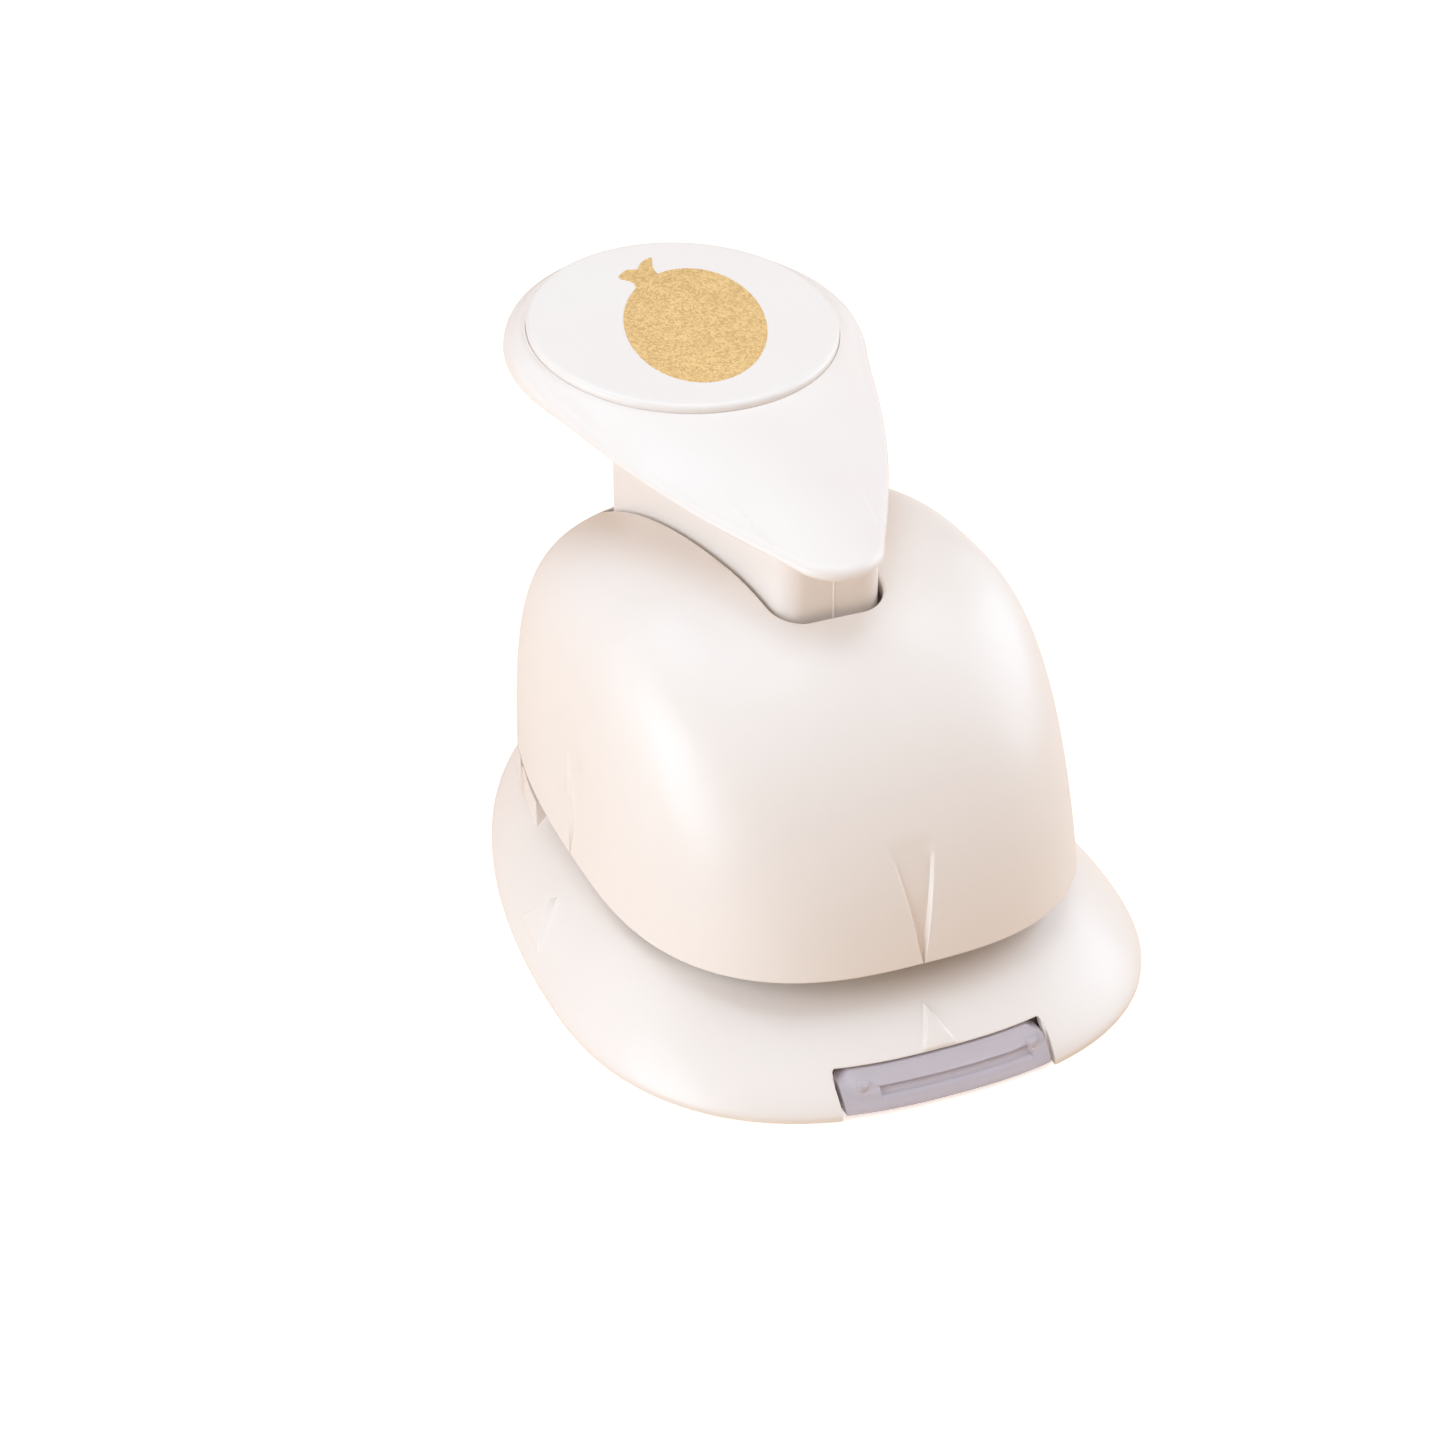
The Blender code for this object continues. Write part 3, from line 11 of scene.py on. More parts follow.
import bpy
import numpy as np
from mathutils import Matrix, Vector


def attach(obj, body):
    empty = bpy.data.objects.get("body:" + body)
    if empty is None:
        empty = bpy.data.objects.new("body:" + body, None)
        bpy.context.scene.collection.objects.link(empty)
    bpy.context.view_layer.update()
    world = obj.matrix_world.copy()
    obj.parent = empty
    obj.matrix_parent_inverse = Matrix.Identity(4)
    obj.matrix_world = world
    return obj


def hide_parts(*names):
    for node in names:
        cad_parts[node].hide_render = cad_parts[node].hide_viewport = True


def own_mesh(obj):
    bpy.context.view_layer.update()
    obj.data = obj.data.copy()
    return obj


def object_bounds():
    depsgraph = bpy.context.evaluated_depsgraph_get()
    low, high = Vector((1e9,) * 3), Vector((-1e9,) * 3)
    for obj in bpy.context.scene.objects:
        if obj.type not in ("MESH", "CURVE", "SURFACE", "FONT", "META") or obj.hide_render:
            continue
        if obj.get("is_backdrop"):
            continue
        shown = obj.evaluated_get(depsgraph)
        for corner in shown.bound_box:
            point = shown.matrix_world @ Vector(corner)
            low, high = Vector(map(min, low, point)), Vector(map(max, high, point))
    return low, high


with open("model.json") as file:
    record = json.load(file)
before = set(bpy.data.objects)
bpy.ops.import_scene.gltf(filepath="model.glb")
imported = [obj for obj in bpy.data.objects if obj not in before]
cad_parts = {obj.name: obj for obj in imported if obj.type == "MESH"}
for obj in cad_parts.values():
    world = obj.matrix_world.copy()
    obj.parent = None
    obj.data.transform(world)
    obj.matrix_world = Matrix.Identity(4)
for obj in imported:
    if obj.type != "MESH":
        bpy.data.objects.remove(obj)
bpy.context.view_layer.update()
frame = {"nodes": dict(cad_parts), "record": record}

# %% [markdown]
# Lengths along Y are measured from the base's widest line, as a drawing of the punch would have
# them. The row frame's origin lies 15.7 mm behind that line, so one function takes all points
# there. Each solid is a stack of closed rings with the same number of points: a function of two
# numbers, the height step and the place round the ring. Blender only has to join them.

# %% Rings to meshes
MM = 0.001
ORIGIN_BEHIND = 15.7
CIRCLE_POINTS = 48
QUARTER_POINTS = 8


def put_mesh(name, points, faces):
    """Mesh object in the row frame, in metres, from points in millimetres."""
    placed = np.asarray(points, float).reshape(-1, 3) - (0.0, ORIGIN_BEHIND, 0.0)
    data = bpy.data.meshes.new(name)
    data.from_pydata((placed * MM).tolist(), [], faces)
    made = bpy.data.objects.new(name, data)
    bpy.context.scene.collection.objects.link(made)
    return made


def ring_solid(name, rings):
    """Closed solid through rings: each point joins the next in its ring and the ring above.

    Rings turn anticlockwise seen from above when they rise, so the faces point outwards.
    """
    rings = np.asarray(rings, float)
    rows, count = rings.shape[:2]
    row = np.arange(rows - 1)[:, None] * count
    here = np.arange(count)[None, :]
    after = (here + 1) % count
    sides = np.stack([row + here, row + after, row + count + after, row + count + here], -1)
    caps = [list(range(count))[::-1], list(range((rows - 1) * count, rows * count))]
    return put_mesh(name, rings, sides.reshape(-1, 4).tolist() + caps)


def stacked(outline, *heights):
    """Rings that repeat one outline of (x, y) points at several heights."""
    outline = np.asarray(outline, float)
    return [np.column_stack([outline, np.full(len(outline), z)]) for z in heights]


def prism(name, outline, bottom, top):
    """Upright prism: one outline of (x, y) points at two heights."""
    return ring_solid(name, stacked(outline, bottom, top))


def cross_prism(name, profile, left, right):
    """Prism along X over an anticlockwise profile of (y, z) points."""
    profile = np.asarray(profile, float)
    rings = [np.column_stack([np.full(len(profile), x), profile]) for x in (left, right)]
    return ring_solid(name, rings)


def circle(centre, radius, count=CIRCLE_POINTS):
    """Points at centre + radius (cos t, sin t), with t once round."""
    turn = np.linspace(0, 2 * math.pi, count, endpoint=False)
    return np.column_stack([centre[0] + radius * np.cos(turn), centre[1] + radius * np.sin(turn)])


def rounded_box(half_width, front, rear, corner):
    """Anticlockwise rectangle as (x, y) points: four quarter circles, joined by straight sides."""
    parts = []
    places = ((1, front, 1, -90), (1, rear, -1, 0), (-1, rear, -1, 90), (-1, front, 1, 180))
    for side, end, way, start in places:
        turn = np.radians(start + np.linspace(0, 90, QUARTER_POINTS))
        x = side * (half_width - corner) + corner * np.cos(turn)
        y = end + way * corner + corner * np.sin(turn)
        parts.append(np.column_stack([x, y]))
    return np.concatenate(parts)


print("a circle has", CIRCLE_POINTS, "points, a round corner", QUARTER_POINTS)

# %% [markdown]
# Holes, bosses and slots are what a moulder's tool adds or takes away, so Booleans are the natural
# way to make them. They are applied at once, and the helper solids are thrown away, so that only
# plain finished meshes are left. Edges sharper than a given angle keep a crisp line.

# %% Booleans and shading
CREASE = 28


def carve(target, tools, operation="DIFFERENCE"):
    """Applies the tools to the target one after the other and removes them.

    A face that a Boolean leaves invalid, such as one folded flat, is dropped.
    """
    for tool in tools:
        step = target.modifiers.new(tool.name, "BOOLEAN")
        step.operation = operation
        step.solver = "EXACT"
        step.object = tool
    graph = bpy.context.evaluated_depsgraph_get()
    made = bpy.data.meshes.new_from_object(target.evaluated_get(graph))
    old = target.data
    target.modifiers.clear()
    target.data = made
    bpy.data.meshes.remove(old)
    made.name = target.name
    if made.validate():
        print(target.name, "had invalid faces, which are dropped")
    for tool in tools:
        old = tool.data
        bpy.data.objects.remove(tool)
        bpy.data.meshes.remove(old)
    return target


def finish_piece(piece, body, stands_for=(), crease=CREASE):
    """Shades a piece, hands it to its CAD body and hides the CAD nodes it stands for."""
    piece.data.shade_smooth()
    piece.data.set_sharp_from_angle(angle=math.radians(crease))
    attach(piece, body)
    if stands_for:
        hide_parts(*stands_for)
    print(piece.name, len(piece.data.polygons), "faces")


print("edges sharper than", CREASE, "degrees stay crisp")

# %% [markdown]
# The cover is a moulded dome. Each level is a superellipse, fuller than an ellipse, whose half
# width, front and rear reach shrink with height along their own curves. The wall is 1.8 mm thick
# and its rim has a small radius, which is what catches the light along the lower edge.

# %% Cover sizes
COVER_HALF_WIDTH = 29.1
COVER_FRONT = 32.2
COVER_REAR = 50.4
COVER_CENTRE = 6.0
COVER_RIM = 12.8
COVER_RISE = 34.0
COVER_DRAFT = 0.064
COVER_LEAN = 0.145
COVER_SIDE_POWER = 5.3
COVER_FRONT_POWER = 2.1
COVER_REAR_POWER = 2.2
COVER_PLAN_POWER = 2.69
COVER_WALL = 1.8
COVER_TOP = COVER_RIM + COVER_RISE
DIE_CENTRE = 10.0


def cover_sizes(height, inset=0.0):
    """Half width, front reach, rear reach and middle at a height over the rim.

    Each is its value at the rim times (1 - share^n)^(1/n), where share is the height's part of the
    rise and n its own power. The sides are drafted inwards as well, and the middle leans back.
    """
    height = np.maximum(height, 0.0)
    share = height / (COVER_RISE - inset)
    half_width = COVER_HALF_WIDTH - COVER_DRAFT * height - inset
    half_width = half_width * (1 - share**COVER_SIDE_POWER) ** (1 / COVER_SIDE_POWER)
    front = (COVER_FRONT - inset) * (1 - share**COVER_FRONT_POWER) ** (1 / COVER_FRONT_POWER)
    rear = (COVER_REAR - inset) * (1 - share**COVER_REAR_POWER) ** (1 / COVER_REAR_POWER)
    return half_width, front, rear, COVER_CENTRE + COVER_LEAN * height


def plan_points(sizes, powers, turn):
    """Outline points at angles round a middle: a superellipse in two different halves.

    The radius is (|cos t|^n + |sin t|^n)^(-1/n), stretched by the half width along X and by the
    front's or the rear's reach along Y.
    """
    half_width, front, rear, centre = sizes
    behind = np.sin(turn) >= 0
    power = np.where(behind, powers[1], powers[0])
    radius = (np.abs(np.cos(turn)) ** power + np.abs(np.sin(turn)) ** power) ** (-1 / power)
    reach = np.where(behind, rear, front)
    return half_width * radius * np.cos(turn), centre + reach * radius * np.sin(turn)


print("cover:", 2 * COVER_HALF_WIDTH, "mm wide,", COVER_TOP, "mm to its crown")

# %% [markdown]
# Both shells carry small arrow marks at the front and both sides that show where the die's middle
# is. They are thin triangles: sunk in the cover and raised on the base. A Boolean would leave
# slivers where a mark fades out, so the marks are part of the surface instead. Close columns of the
# grid follow the two edges of each triangle, and the points between them move in or out.

# %% Marks as bent grid columns
MARK_STEP = 0.12
MARK_WALL = 0.35
MARK_FLOOR_SHARE = 0.4
MARK_LINES = 9
FURTHEST_ALONG = 0.98


def mark_lines(half_width):
    """Places of nine columns across a mark, and how far each follows the mark's depth (0 to 1)."""
    wall = np.minimum(MARK_WALL, MARK_FLOOR_SHARE * half_width)
    floor = half_width - wall
    right = [np.zeros_like(floor), floor / 2, floor, half_width, half_width + MARK_STEP]
    places = np.stack([-right[4], -right[3], -right[2], -right[1], *right], -1)
    return places, np.array([0, 0, 1, 1, 1, 1, 1, 0, 0], float)


def turn_to(share, power):
    """Angle of a superellipse's point at (share, (1 - |share|^n)^(1/n)), from its middle."""
    share = np.clip(share, -FURTHEST_ALONG, FURTHEST_ALONG)
    return np.arctan(share / (1 - np.abs(share) ** power) ** (1 / power))


def between(start, end, count):
    """Angles strictly between two columns of angles, evenly."""
    share = (np.arange(count) + 1) / (count + 1)
    return start[:, None] + (end - start)[:, None] * share


def marked_rings(sizes, powers, heights, front_mark, side_mark, sides, back):
    """Rings whose columns follow three marks, each a pair of half widths and depths by height.

    The depth is added straight outwards: along -Y at the front, along X at the sides.
    """
    half_width, front, rear, centre = (np.broadcast_to(s, heights.shape) for s in sizes)
    places, follow = mark_lines(front_mark[0])
    at_front = -math.pi / 2 + turn_to(places / half_width[:, None], powers[0])
    along = DIE_CENTRE + mark_lines(side_mark[0])[0] - centre[:, None]
    behind = along >= 0
    reach = np.where(behind, rear[:, None], front[:, None])
    power = np.where(behind, powers[1], powers[0])
    at_right = turn_to(along / reach, power)
    at_left = math.pi - at_right[:, ::-1]
    parts = [
        at_front,
        between(at_front[:, -1], at_right[:, 0], sides),
        at_right,
        between(at_right[:, -1], at_left[:, 0], back),
        at_left,
        between(at_left[:, -1], at_front[:, 0] + 2 * math.pi, sides),
    ]
    turn = np.concatenate(parts, axis=1)
    x, y = plan_points([s[:, None] for s in (half_width, front, rear, centre)], powers, turn)
    right_start = MARK_LINES + sides
    left_start = right_start + MARK_LINES + back
    y[:, :MARK_LINES] -= front_mark[1][:, None] * follow
    x[:, right_start : right_start + MARK_LINES] += side_mark[1][:, None] * follow
    x[:, left_start : left_start + MARK_LINES] -= side_mark[1][:, None] * follow
    return np.stack([x, y, np.broadcast_to(heights[:, None], x.shape)], -1)


print("a mark takes", MARK_LINES, "columns, with walls of", MARK_WALL, "mm")

# %% [markdown]
# The dome's rings are spread evenly along its curve, not along its height, because the crown turns
# almost flat. The curve's length is measured on a fine table and then looked up backwards. One run
# of rings goes down the inner skin, round the rim and up the outer skin, so the shell is closed.

# %% Cover rings
COVER_MARK_TOP = 14.0
COVER_MARK_HALF_WIDTH = 2.9
COVER_MARK_DEPTH = 0.75
COVER_MARK_FADE = 0.6
MARK_TIP_HALF_WIDTH = 0.08
RIM_RADIUS = 0.4
CREST_SHARE = 0.998
WIDEST_MARK_SHARE = 0.35
FINE_STEPS = 4000
OUTER_RINGS = 92
INNER_RINGS = 36
EDGE_STEPS = 7
SIDE_COLUMNS = 56
BACK_COLUMNS = 128


def even_shares(count):
    """Shares of the height that lie evenly along the dome's curve.

    The curve's length is the sum of sqrt(dh^2 + dr^2) over a table that is finer at the crown, for
    the side, the front and the rear together.
    """
    fine = 1 - (1 - np.linspace(0, 1, FINE_STEPS)) ** 3
    fine = fine * CREST_SHARE
    height = COVER_RISE * fine
    half_width, front, rear, _ = cover_sizes(height)
    lengths = sum(np.hypot(np.diff(height), np.diff(r)) for r in (half_width, front, rear))
    run = np.concatenate([[0], np.cumsum(lengths)])
    return np.interp(np.linspace(0, 1, count), run / run[-1], fine)


def cover_rings():
    """Rings down the inner skin, round the rim's two quarter circles and up the outer skin.

    A mark is narrow and deepest at the rim. It widens with height, and its depth falls as
    (1 - share)^fade.
    """
    outer = even_shares(OUTER_RINGS)[1:]
    inner = even_shares(INNER_RINGS)[::-1]
    turn = np.radians(np.linspace(0, 90, EDGE_STEPS))
    rim_in = RIM_RADIUS * (1 - np.sin(turn))
    rim_up = RIM_RADIUS * (1 - np.cos(turn))
    inner_height = inner * (COVER_RISE - COVER_WALL)
    inner_height = inner_height[inner_height > RIM_RADIUS]
    heights = [inner_height, rim_up[::-1], rim_up]
    insets = [np.full(len(inner_height), COVER_WALL), COVER_WALL - rim_in[::-1], rim_in]
    outer_height = outer * COVER_RISE
    outer_height = outer_height[outer_height > RIM_RADIUS]
    heights = np.concatenate(heights + [outer_height])
    insets = np.concatenate(insets + [np.zeros(len(outer_height))])
    share = np.clip(heights / COVER_MARK_TOP, 0, 1)
    widths = MARK_TIP_HALF_WIDTH + (COVER_MARK_HALF_WIDTH - MARK_TIP_HALF_WIDTH) * share
    widths = np.minimum(widths, WIDEST_MARK_SHARE * cover_sizes(heights)[1])
    fade = np.clip((COVER_WALL - insets) / COVER_WALL, 0, 1) ** 2
    mark = widths, -COVER_MARK_DEPTH * (1 - share) ** COVER_MARK_FADE * fade
    powers = (COVER_PLAN_POWER, COVER_PLAN_POWER)
    sizes = cover_sizes(heights, insets)
    rings = marked_rings(sizes, powers, heights, mark, mark, SIDE_COLUMNS, BACK_COLUMNS)
    rings[:, :, 2] += COVER_RIM
    return rings


cover = ring_solid("cover_shell", cover_rings())
print(cover.name, "has", len(cover.data.vertices), "points before it is cut")

# %% [markdown]
# The slot in the crown is a wedge with round front corners that the lever's web moves in. Its edge
# is softened. The cutter's rings follow the dome's own skin: wide just above it, then closing in
# along a quarter circle, then straight down. The skin's height over any point of the plan has no
# formula, so it is found by halving an interval, for all points at once.

# %% Slot in the crown
SLOT_FRONT = -1.0
SLOT_REAR = 42.82
SLOT_HALF_WIDTH = 6.7
SLOT_SPREAD = 0.139
SLOT_CORNER = 4.0
SLOT_REAR_CORNER = 1.6
SLOT_EDGE = 0.35
SLOT_CUT_BELOW = 20.0
SLOT_CUT_ABOVE = 3.0
SKIN_LIMIT = 0.99999
HALVINGS = 40
CORNER_STEPS = 14
WEDGE_SIDE_STEPS = 40
WEDGE_BACK_STEPS = 24
WEDGE_FRONT_STEPS = 18


def cover_skin(x, y):
    """Height of the outer skin over points of the plan, by halving.

    It is the level at which |x / half width|^n + |y / reach|^n comes to 1.
    """
    low = np.zeros_like(x)
    high = np.full_like(x, COVER_RISE * SKIN_LIMIT)
    for _ in range(HALVINGS):
        middle = (low + high) / 2
        half_width, front, rear, centre = cover_sizes(middle)
        reach = np.where(y >= centre, rear, front)
        inside = (np.abs(x) / half_width) ** COVER_PLAN_POWER
        inside = inside + (np.abs(y - centre) / reach) ** COVER_PLAN_POWER
        low = np.where(inside < 1, middle, low)
        high = np.where(inside < 1, high, middle)
    return COVER_RIM + (low + high) / 2


def slot_half_width(y):
    """Half width at y: the front's, and the spread for each millimetre behind it."""
    return SLOT_HALF_WIDTH + SLOT_SPREAD * (y - SLOT_FRONT)


def wedge_corner(end, way, inset, radius):
    """Round corner between the line y = end and the wedge's right side, tangent to both."""
    lean = math.atan(SLOT_SPREAD)
    middle_y = end + way * radius
    middle_x = slot_half_width(middle_y) - inset - radius / math.cos(lean)
    turn = np.linspace(-way * math.pi / 2, -lean, CORNER_STEPS)
    arc = np.column_stack([middle_x + radius * np.cos(turn), middle_y + radius * np.sin(turn)])
    return arc if way > 0 else arc[::-1]


def wedge(front, rear, inset, corner, rear_corner):
    """Anticlockwise wedge that widens to the rear, with round corners, as (x, y) points."""
    first = wedge_corner(front, 1, inset, corner)
    last = wedge_corner(rear, -1, inset, rear_corner)
    y = np.linspace(first[-1, 1], last[0, 1], WEDGE_SIDE_STEPS)[1:-1]
    side = np.column_stack([slot_half_width(y) - inset, y])
    x = np.linspace(last[-1, 0], -last[-1, 0], WEDGE_BACK_STEPS)[1:-1]
    back = np.column_stack([x, np.full(len(x), rear)])
    right = np.concatenate([first, side, last])
    x = np.linspace(-first[0, 0], first[0, 0], WEDGE_FRONT_STEPS)[1:-1]
    ahead = np.column_stack([x, np.full(len(x), front)])
    return np.concatenate([right, back, (right * (-1, 1))[::-1], ahead])


def slot_cutter():
    """Rings of the wedge: deep down, then round the edge's quarter circle, then over the dome."""
    turn = np.radians(np.linspace(0, 90, EDGE_STEPS))
    grow = np.concatenate([[0.0], SLOT_EDGE * (1 - np.cos(turn)), [SLOT_EDGE]])
    drop = np.concatenate([[0.0], -SLOT_EDGE * (1 - np.sin(turn)), [0.0]])
    rings = []
    for wider, lower in zip(grow, drop):
        corners = (SLOT_CORNER + wider, SLOT_REAR_CORNER + wider)
        outline = wedge(SLOT_FRONT - wider, SLOT_REAR + wider, -wider, *corners)
        z = cover_skin(outline[:, 0], outline[:, 1]) + lower
        rings.append(np.column_stack([outline, z]))
    rings[0][:, 2] = COVER_TOP - SLOT_CUT_BELOW
    rings[-1][:, 2] = COVER_TOP + SLOT_CUT_ABOVE
    return ring_solid("slot_cutter", rings)


carve(cover, [slot_cutter()])
print("slot:", round(SLOT_REAR - SLOT_FRONT, 2), "mm long,", 2 * SLOT_HALF_WIDTH, "mm in front")

# %% [markdown]
# The base is a flared skirt that slopes up to a flat table. Its plan is a superellipse with a blunt
# front and a longer rear, and each level is drawn in from the foot by a lean that grows a little
# faster than the height. The rings go from the underside down the inner wall, round the foot and
# up the slope to the table.

# %% Base sizes
BASE_HALF_WIDTH = 36.0
BASE_FRONT = 35.2
BASE_REAR = 64.0
BASE_FRONT_POWER = 2.46
BASE_REAR_POWER = 2.05
BASE_FOOT_BAND = 0.7
BASE_WALL = 1.8
TABLE_HEIGHT = 10.8
TABLE_UNDERSIDE = 6.6
SLOPE_SIDE_REACH = 8.5
SLOPE_FRONT_REACH = 14.7
SLOPE_REAR_REACH = 9.0
SLOPE_POWER = 1.3
FOOT_RADIUS = 0.3
TABLE_EDGE_RADIUS = 0.7
TABLE_INSETS = (3.0, 7.0)
SLOPE_RINGS = 60
INNER_WALL_RINGS = 14
BASE_EDGE_STEPS = 6
RAISED_FADE = 0.4
TIP_STEP = 0.04
# A raised mark is its tip's height, its foot's height, its half width at the foot and its depth.
FRONT_MARK = (7.6, 4.6, 2.3, 0.8)
SIDE_MARK = (7.2, 2.8, 4.2, 0.9)


def base_sizes(height, inset=0.0):
    """Half width, front and rear reach, and middle of the skirt at a height.

    Each is its value at the foot less its own slope's reach times share^power, where share is the
    height's part of the way from the foot's upright band to the table.
    """
    share = (np.maximum(height, BASE_FOOT_BAND) - BASE_FOOT_BAND) / (TABLE_HEIGHT - BASE_FOOT_BAND)
    lean = share**SLOPE_POWER
    return (
        BASE_HALF_WIDTH - SLOPE_SIDE_REACH * lean - inset,
        BASE_FRONT - SLOPE_FRONT_REACH * lean - inset,
        BASE_REAR - SLOPE_REAR_REACH * lean - inset,
        np.zeros_like(lean),
    )


def raised_mark(heights, on_skin, mark):
    """Half widths and depths of a triangle by height: it widens from its tip down to its foot.

    Its depth is full at the tip and falls as (1 - share)^fade towards the foot.
    """
    tip, foot, half_width, depth = mark
    share = np.clip((tip - heights) / (tip - foot), 0, 1)
    widths = MARK_TIP_HALF_WIDTH + (half_width - MARK_TIP_HALF_WIDTH) * share
    return widths, depth * (1 - share) ** RAISED_FADE * ((heights <= tip) & on_skin)


def base_rings():
    """Rings down the inner wall, round the foot, up the slope and over the table's edge."""
    turn = np.radians(np.linspace(0, 90, BASE_EDGE_STEPS))
    corner_in = 1 - np.sin(turn)
    corner_up = 1 - np.cos(turn)
    inner = np.linspace(TABLE_UNDERSIDE, FOOT_RADIUS, INNER_WALL_RINGS)[:-1]
    slope = np.linspace(FOOT_RADIUS, TABLE_HEIGHT - TABLE_EDGE_RADIUS, SLOPE_RINGS)[1:-1]
    tips = [mark[0] + step for mark in (FRONT_MARK, SIDE_MARK) for step in (0.0, TIP_STEP)]
    slope = np.union1d(slope, [BASE_FOOT_BAND, *tips])
    edge = TABLE_HEIGHT - TABLE_EDGE_RADIUS * corner_in
    table_inset = np.concatenate([TABLE_EDGE_RADIUS * corner_up, TABLE_INSETS])
    heights = [
        inner,
        FOOT_RADIUS * corner_up[::-1],
        FOOT_RADIUS * corner_up,
        slope,
        edge,
        [TABLE_HEIGHT] * len(TABLE_INSETS),
    ]
    insets = [
        np.full(len(inner), BASE_WALL),
        BASE_WALL - FOOT_RADIUS * corner_in[::-1],
        FOOT_RADIUS * corner_in,
        np.zeros(len(slope)),
        table_inset,
    ]
    heights, insets = np.concatenate(heights), np.concatenate(insets)
    marks = [raised_mark(heights, insets == 0, mark) for mark in (FRONT_MARK, SIDE_MARK)]
    powers = (BASE_FRONT_POWER, BASE_REAR_POWER)
    sizes = base_sizes(heights, insets)
    return marked_rings(sizes, powers, heights, *marks, SIDE_COLUMNS, BACK_COLUMNS)


base = ring_solid("base_shell", base_rings())
print(base.name, "has", len(base.data.vertices), "points before it is cut")

# %% [markdown]
# Behind the paper slit a wall joins base and cover, with a low step in front and a tongue inside
# the cover's rim. Each is a part of the rim's own outline behind a straight line, moved inwards.

# %% Wall behind the paper slit
THROAT_END = 32.7
THROAT_WALL = 3.6
THROAT_STEP_START = 24.4
THROAT_STEP_TOP = 11.3
TONGUE_WALL = 1.2
TONGUE_TOP = 15.8
TONGUE_BEHIND = 0.6
SEAT_GAP = 0.3
BASE_ROOT = TABLE_UNDERSIDE + BASE_WALL / 2
ARC_MARGIN = 0.4
ARC_STEPS = 140
RISING_STEPS = 1500


def rim_arc(inset, start):
    """The rim's outline behind the line y = start, from right to left.

    The first angle is looked up in a fine table of y along the right side, where y rises.
    """
    fine = np.linspace(-ARC_MARGIN, math.pi + ARC_MARGIN, FINE_STEPS)
    sizes = cover_sizes(np.zeros(1), inset)
    powers = (COVER_PLAN_POWER, COVER_PLAN_POWER)
    y = plan_points(sizes, powers, fine)[1]
    right = np.interp(start, y[:RISING_STEPS], fine[:RISING_STEPS])
    turn = np.linspace(right, math.pi - right, ARC_STEPS)
    return np.column_stack(plan_points(sizes, powers, turn))


def wall_arc(name, inset, thickness, start, bottom, top):
    """A wall that follows the rim: outer arc there, inner arc back."""
    outline = np.concatenate([rim_arc(inset, start), rim_arc(inset + thickness, start)[::-1]])
    return prism(name, outline, bottom, top)


step_wall = THROAT_WALL - 2 * SEAT_GAP
tongue_inset = COVER_WALL + SEAT_GAP
tongue_start = THROAT_END + TONGUE_BEHIND
walls = [
    wall_arc("step", SEAT_GAP, step_wall, THROAT_STEP_START, BASE_ROOT, THROAT_STEP_TOP),
    wall_arc("wall", 0.0, THROAT_WALL, THROAT_END, BASE_ROOT + SEAT_GAP, COVER_RIM - SEAT_GAP),
    wall_arc("tongue", tongue_inset, TONGUE_WALL, tongue_start, TABLE_HEIGHT, TONGUE_TOP),
]
carve(base, walls, "UNION")
print("base with its rear wall:", len(base.data.polygons), "faces")

# %% [markdown]
# Under the table there are screw bosses, two columns for the long cover screws and the brackets of
# the tray's hinge. They are plain posts and blocks of the same moulding, so they are joined to it.

# %% Bosses under the base
BORE_RADIUS = 1.5
BOSS_RADIUS = 3.0
BOSS_BOTTOM = 5.0
PLATE_SCREWS = [(side * 14.0, y) for y in (35.6, 41.2) for side in (-1, 1)]
REAR_SCREWS = [(side * 10.0, 47.4) for side in (-1, 1)]
FRONT_SCREWS = [(side * 20.5, -3.0) for side in (-1, 1)]
COLUMN_BOTTOM = 3.2
HINGE_Y = 42.6
HINGE_Z = 2.5
BRACKET_EDGES = (6.3, 9.3)
BRACKET_HALF_LENGTH = 1.9
BRACKET_DROP = 1.2

bosses = [
    prism(f"boss_{number}", circle(place, BOSS_RADIUS), BOSS_BOTTOM, BASE_ROOT)
    for number, place in enumerate(PLATE_SCREWS)
]
bosses += [
    prism(f"column_{number}", circle(place, BOSS_RADIUS), COLUMN_BOTTOM, BASE_ROOT)
    for number, place in enumerate(REAR_SCREWS)
]
bracket = [
    (HINGE_Y - BRACKET_HALF_LENGTH, HINGE_Z - BRACKET_DROP),
    (HINGE_Y + BRACKET_HALF_LENGTH, HINGE_Z - BRACKET_DROP),
    (HINGE_Y + BRACKET_HALF_LENGTH, BASE_ROOT),
    (HINGE_Y - BRACKET_HALF_LENGTH, BASE_ROOT),
]
for side in (-1, 1):
    low, high = sorted(side * edge for edge in BRACKET_EDGES)
    bosses.append(cross_prism(f"bracket_{side}", bracket, low, high))
carve(base, bosses, "UNION")
print(len(bosses), "bosses and brackets joined to the base")

# %% [markdown]
# The punched figure is a balloon: a leaning oval with a short tail. The opening that the pieces
# drop through has this outline, moved out by a margin, and the foil on the pad shows the same oval.

# %% Balloon figure
FIGURE_HALF_LENGTH = 13.05
FIGURE_HALF_WIDTH = 8.7
FIGURE_LEAN = math.radians(18)
FIGURE_BACK = -1.7
FIGURE_POINTS = 120
MITRE_LIMIT = 0.45
TAIL = [
    (0.3, 10.3),
    (0.9, 13.9),
    (-0.2, 14.3),
    (-2.1, 12.4),
    (-3.9, 12.2),
    (-4.5, 10.8),
    (-2.9, 8.5),
]


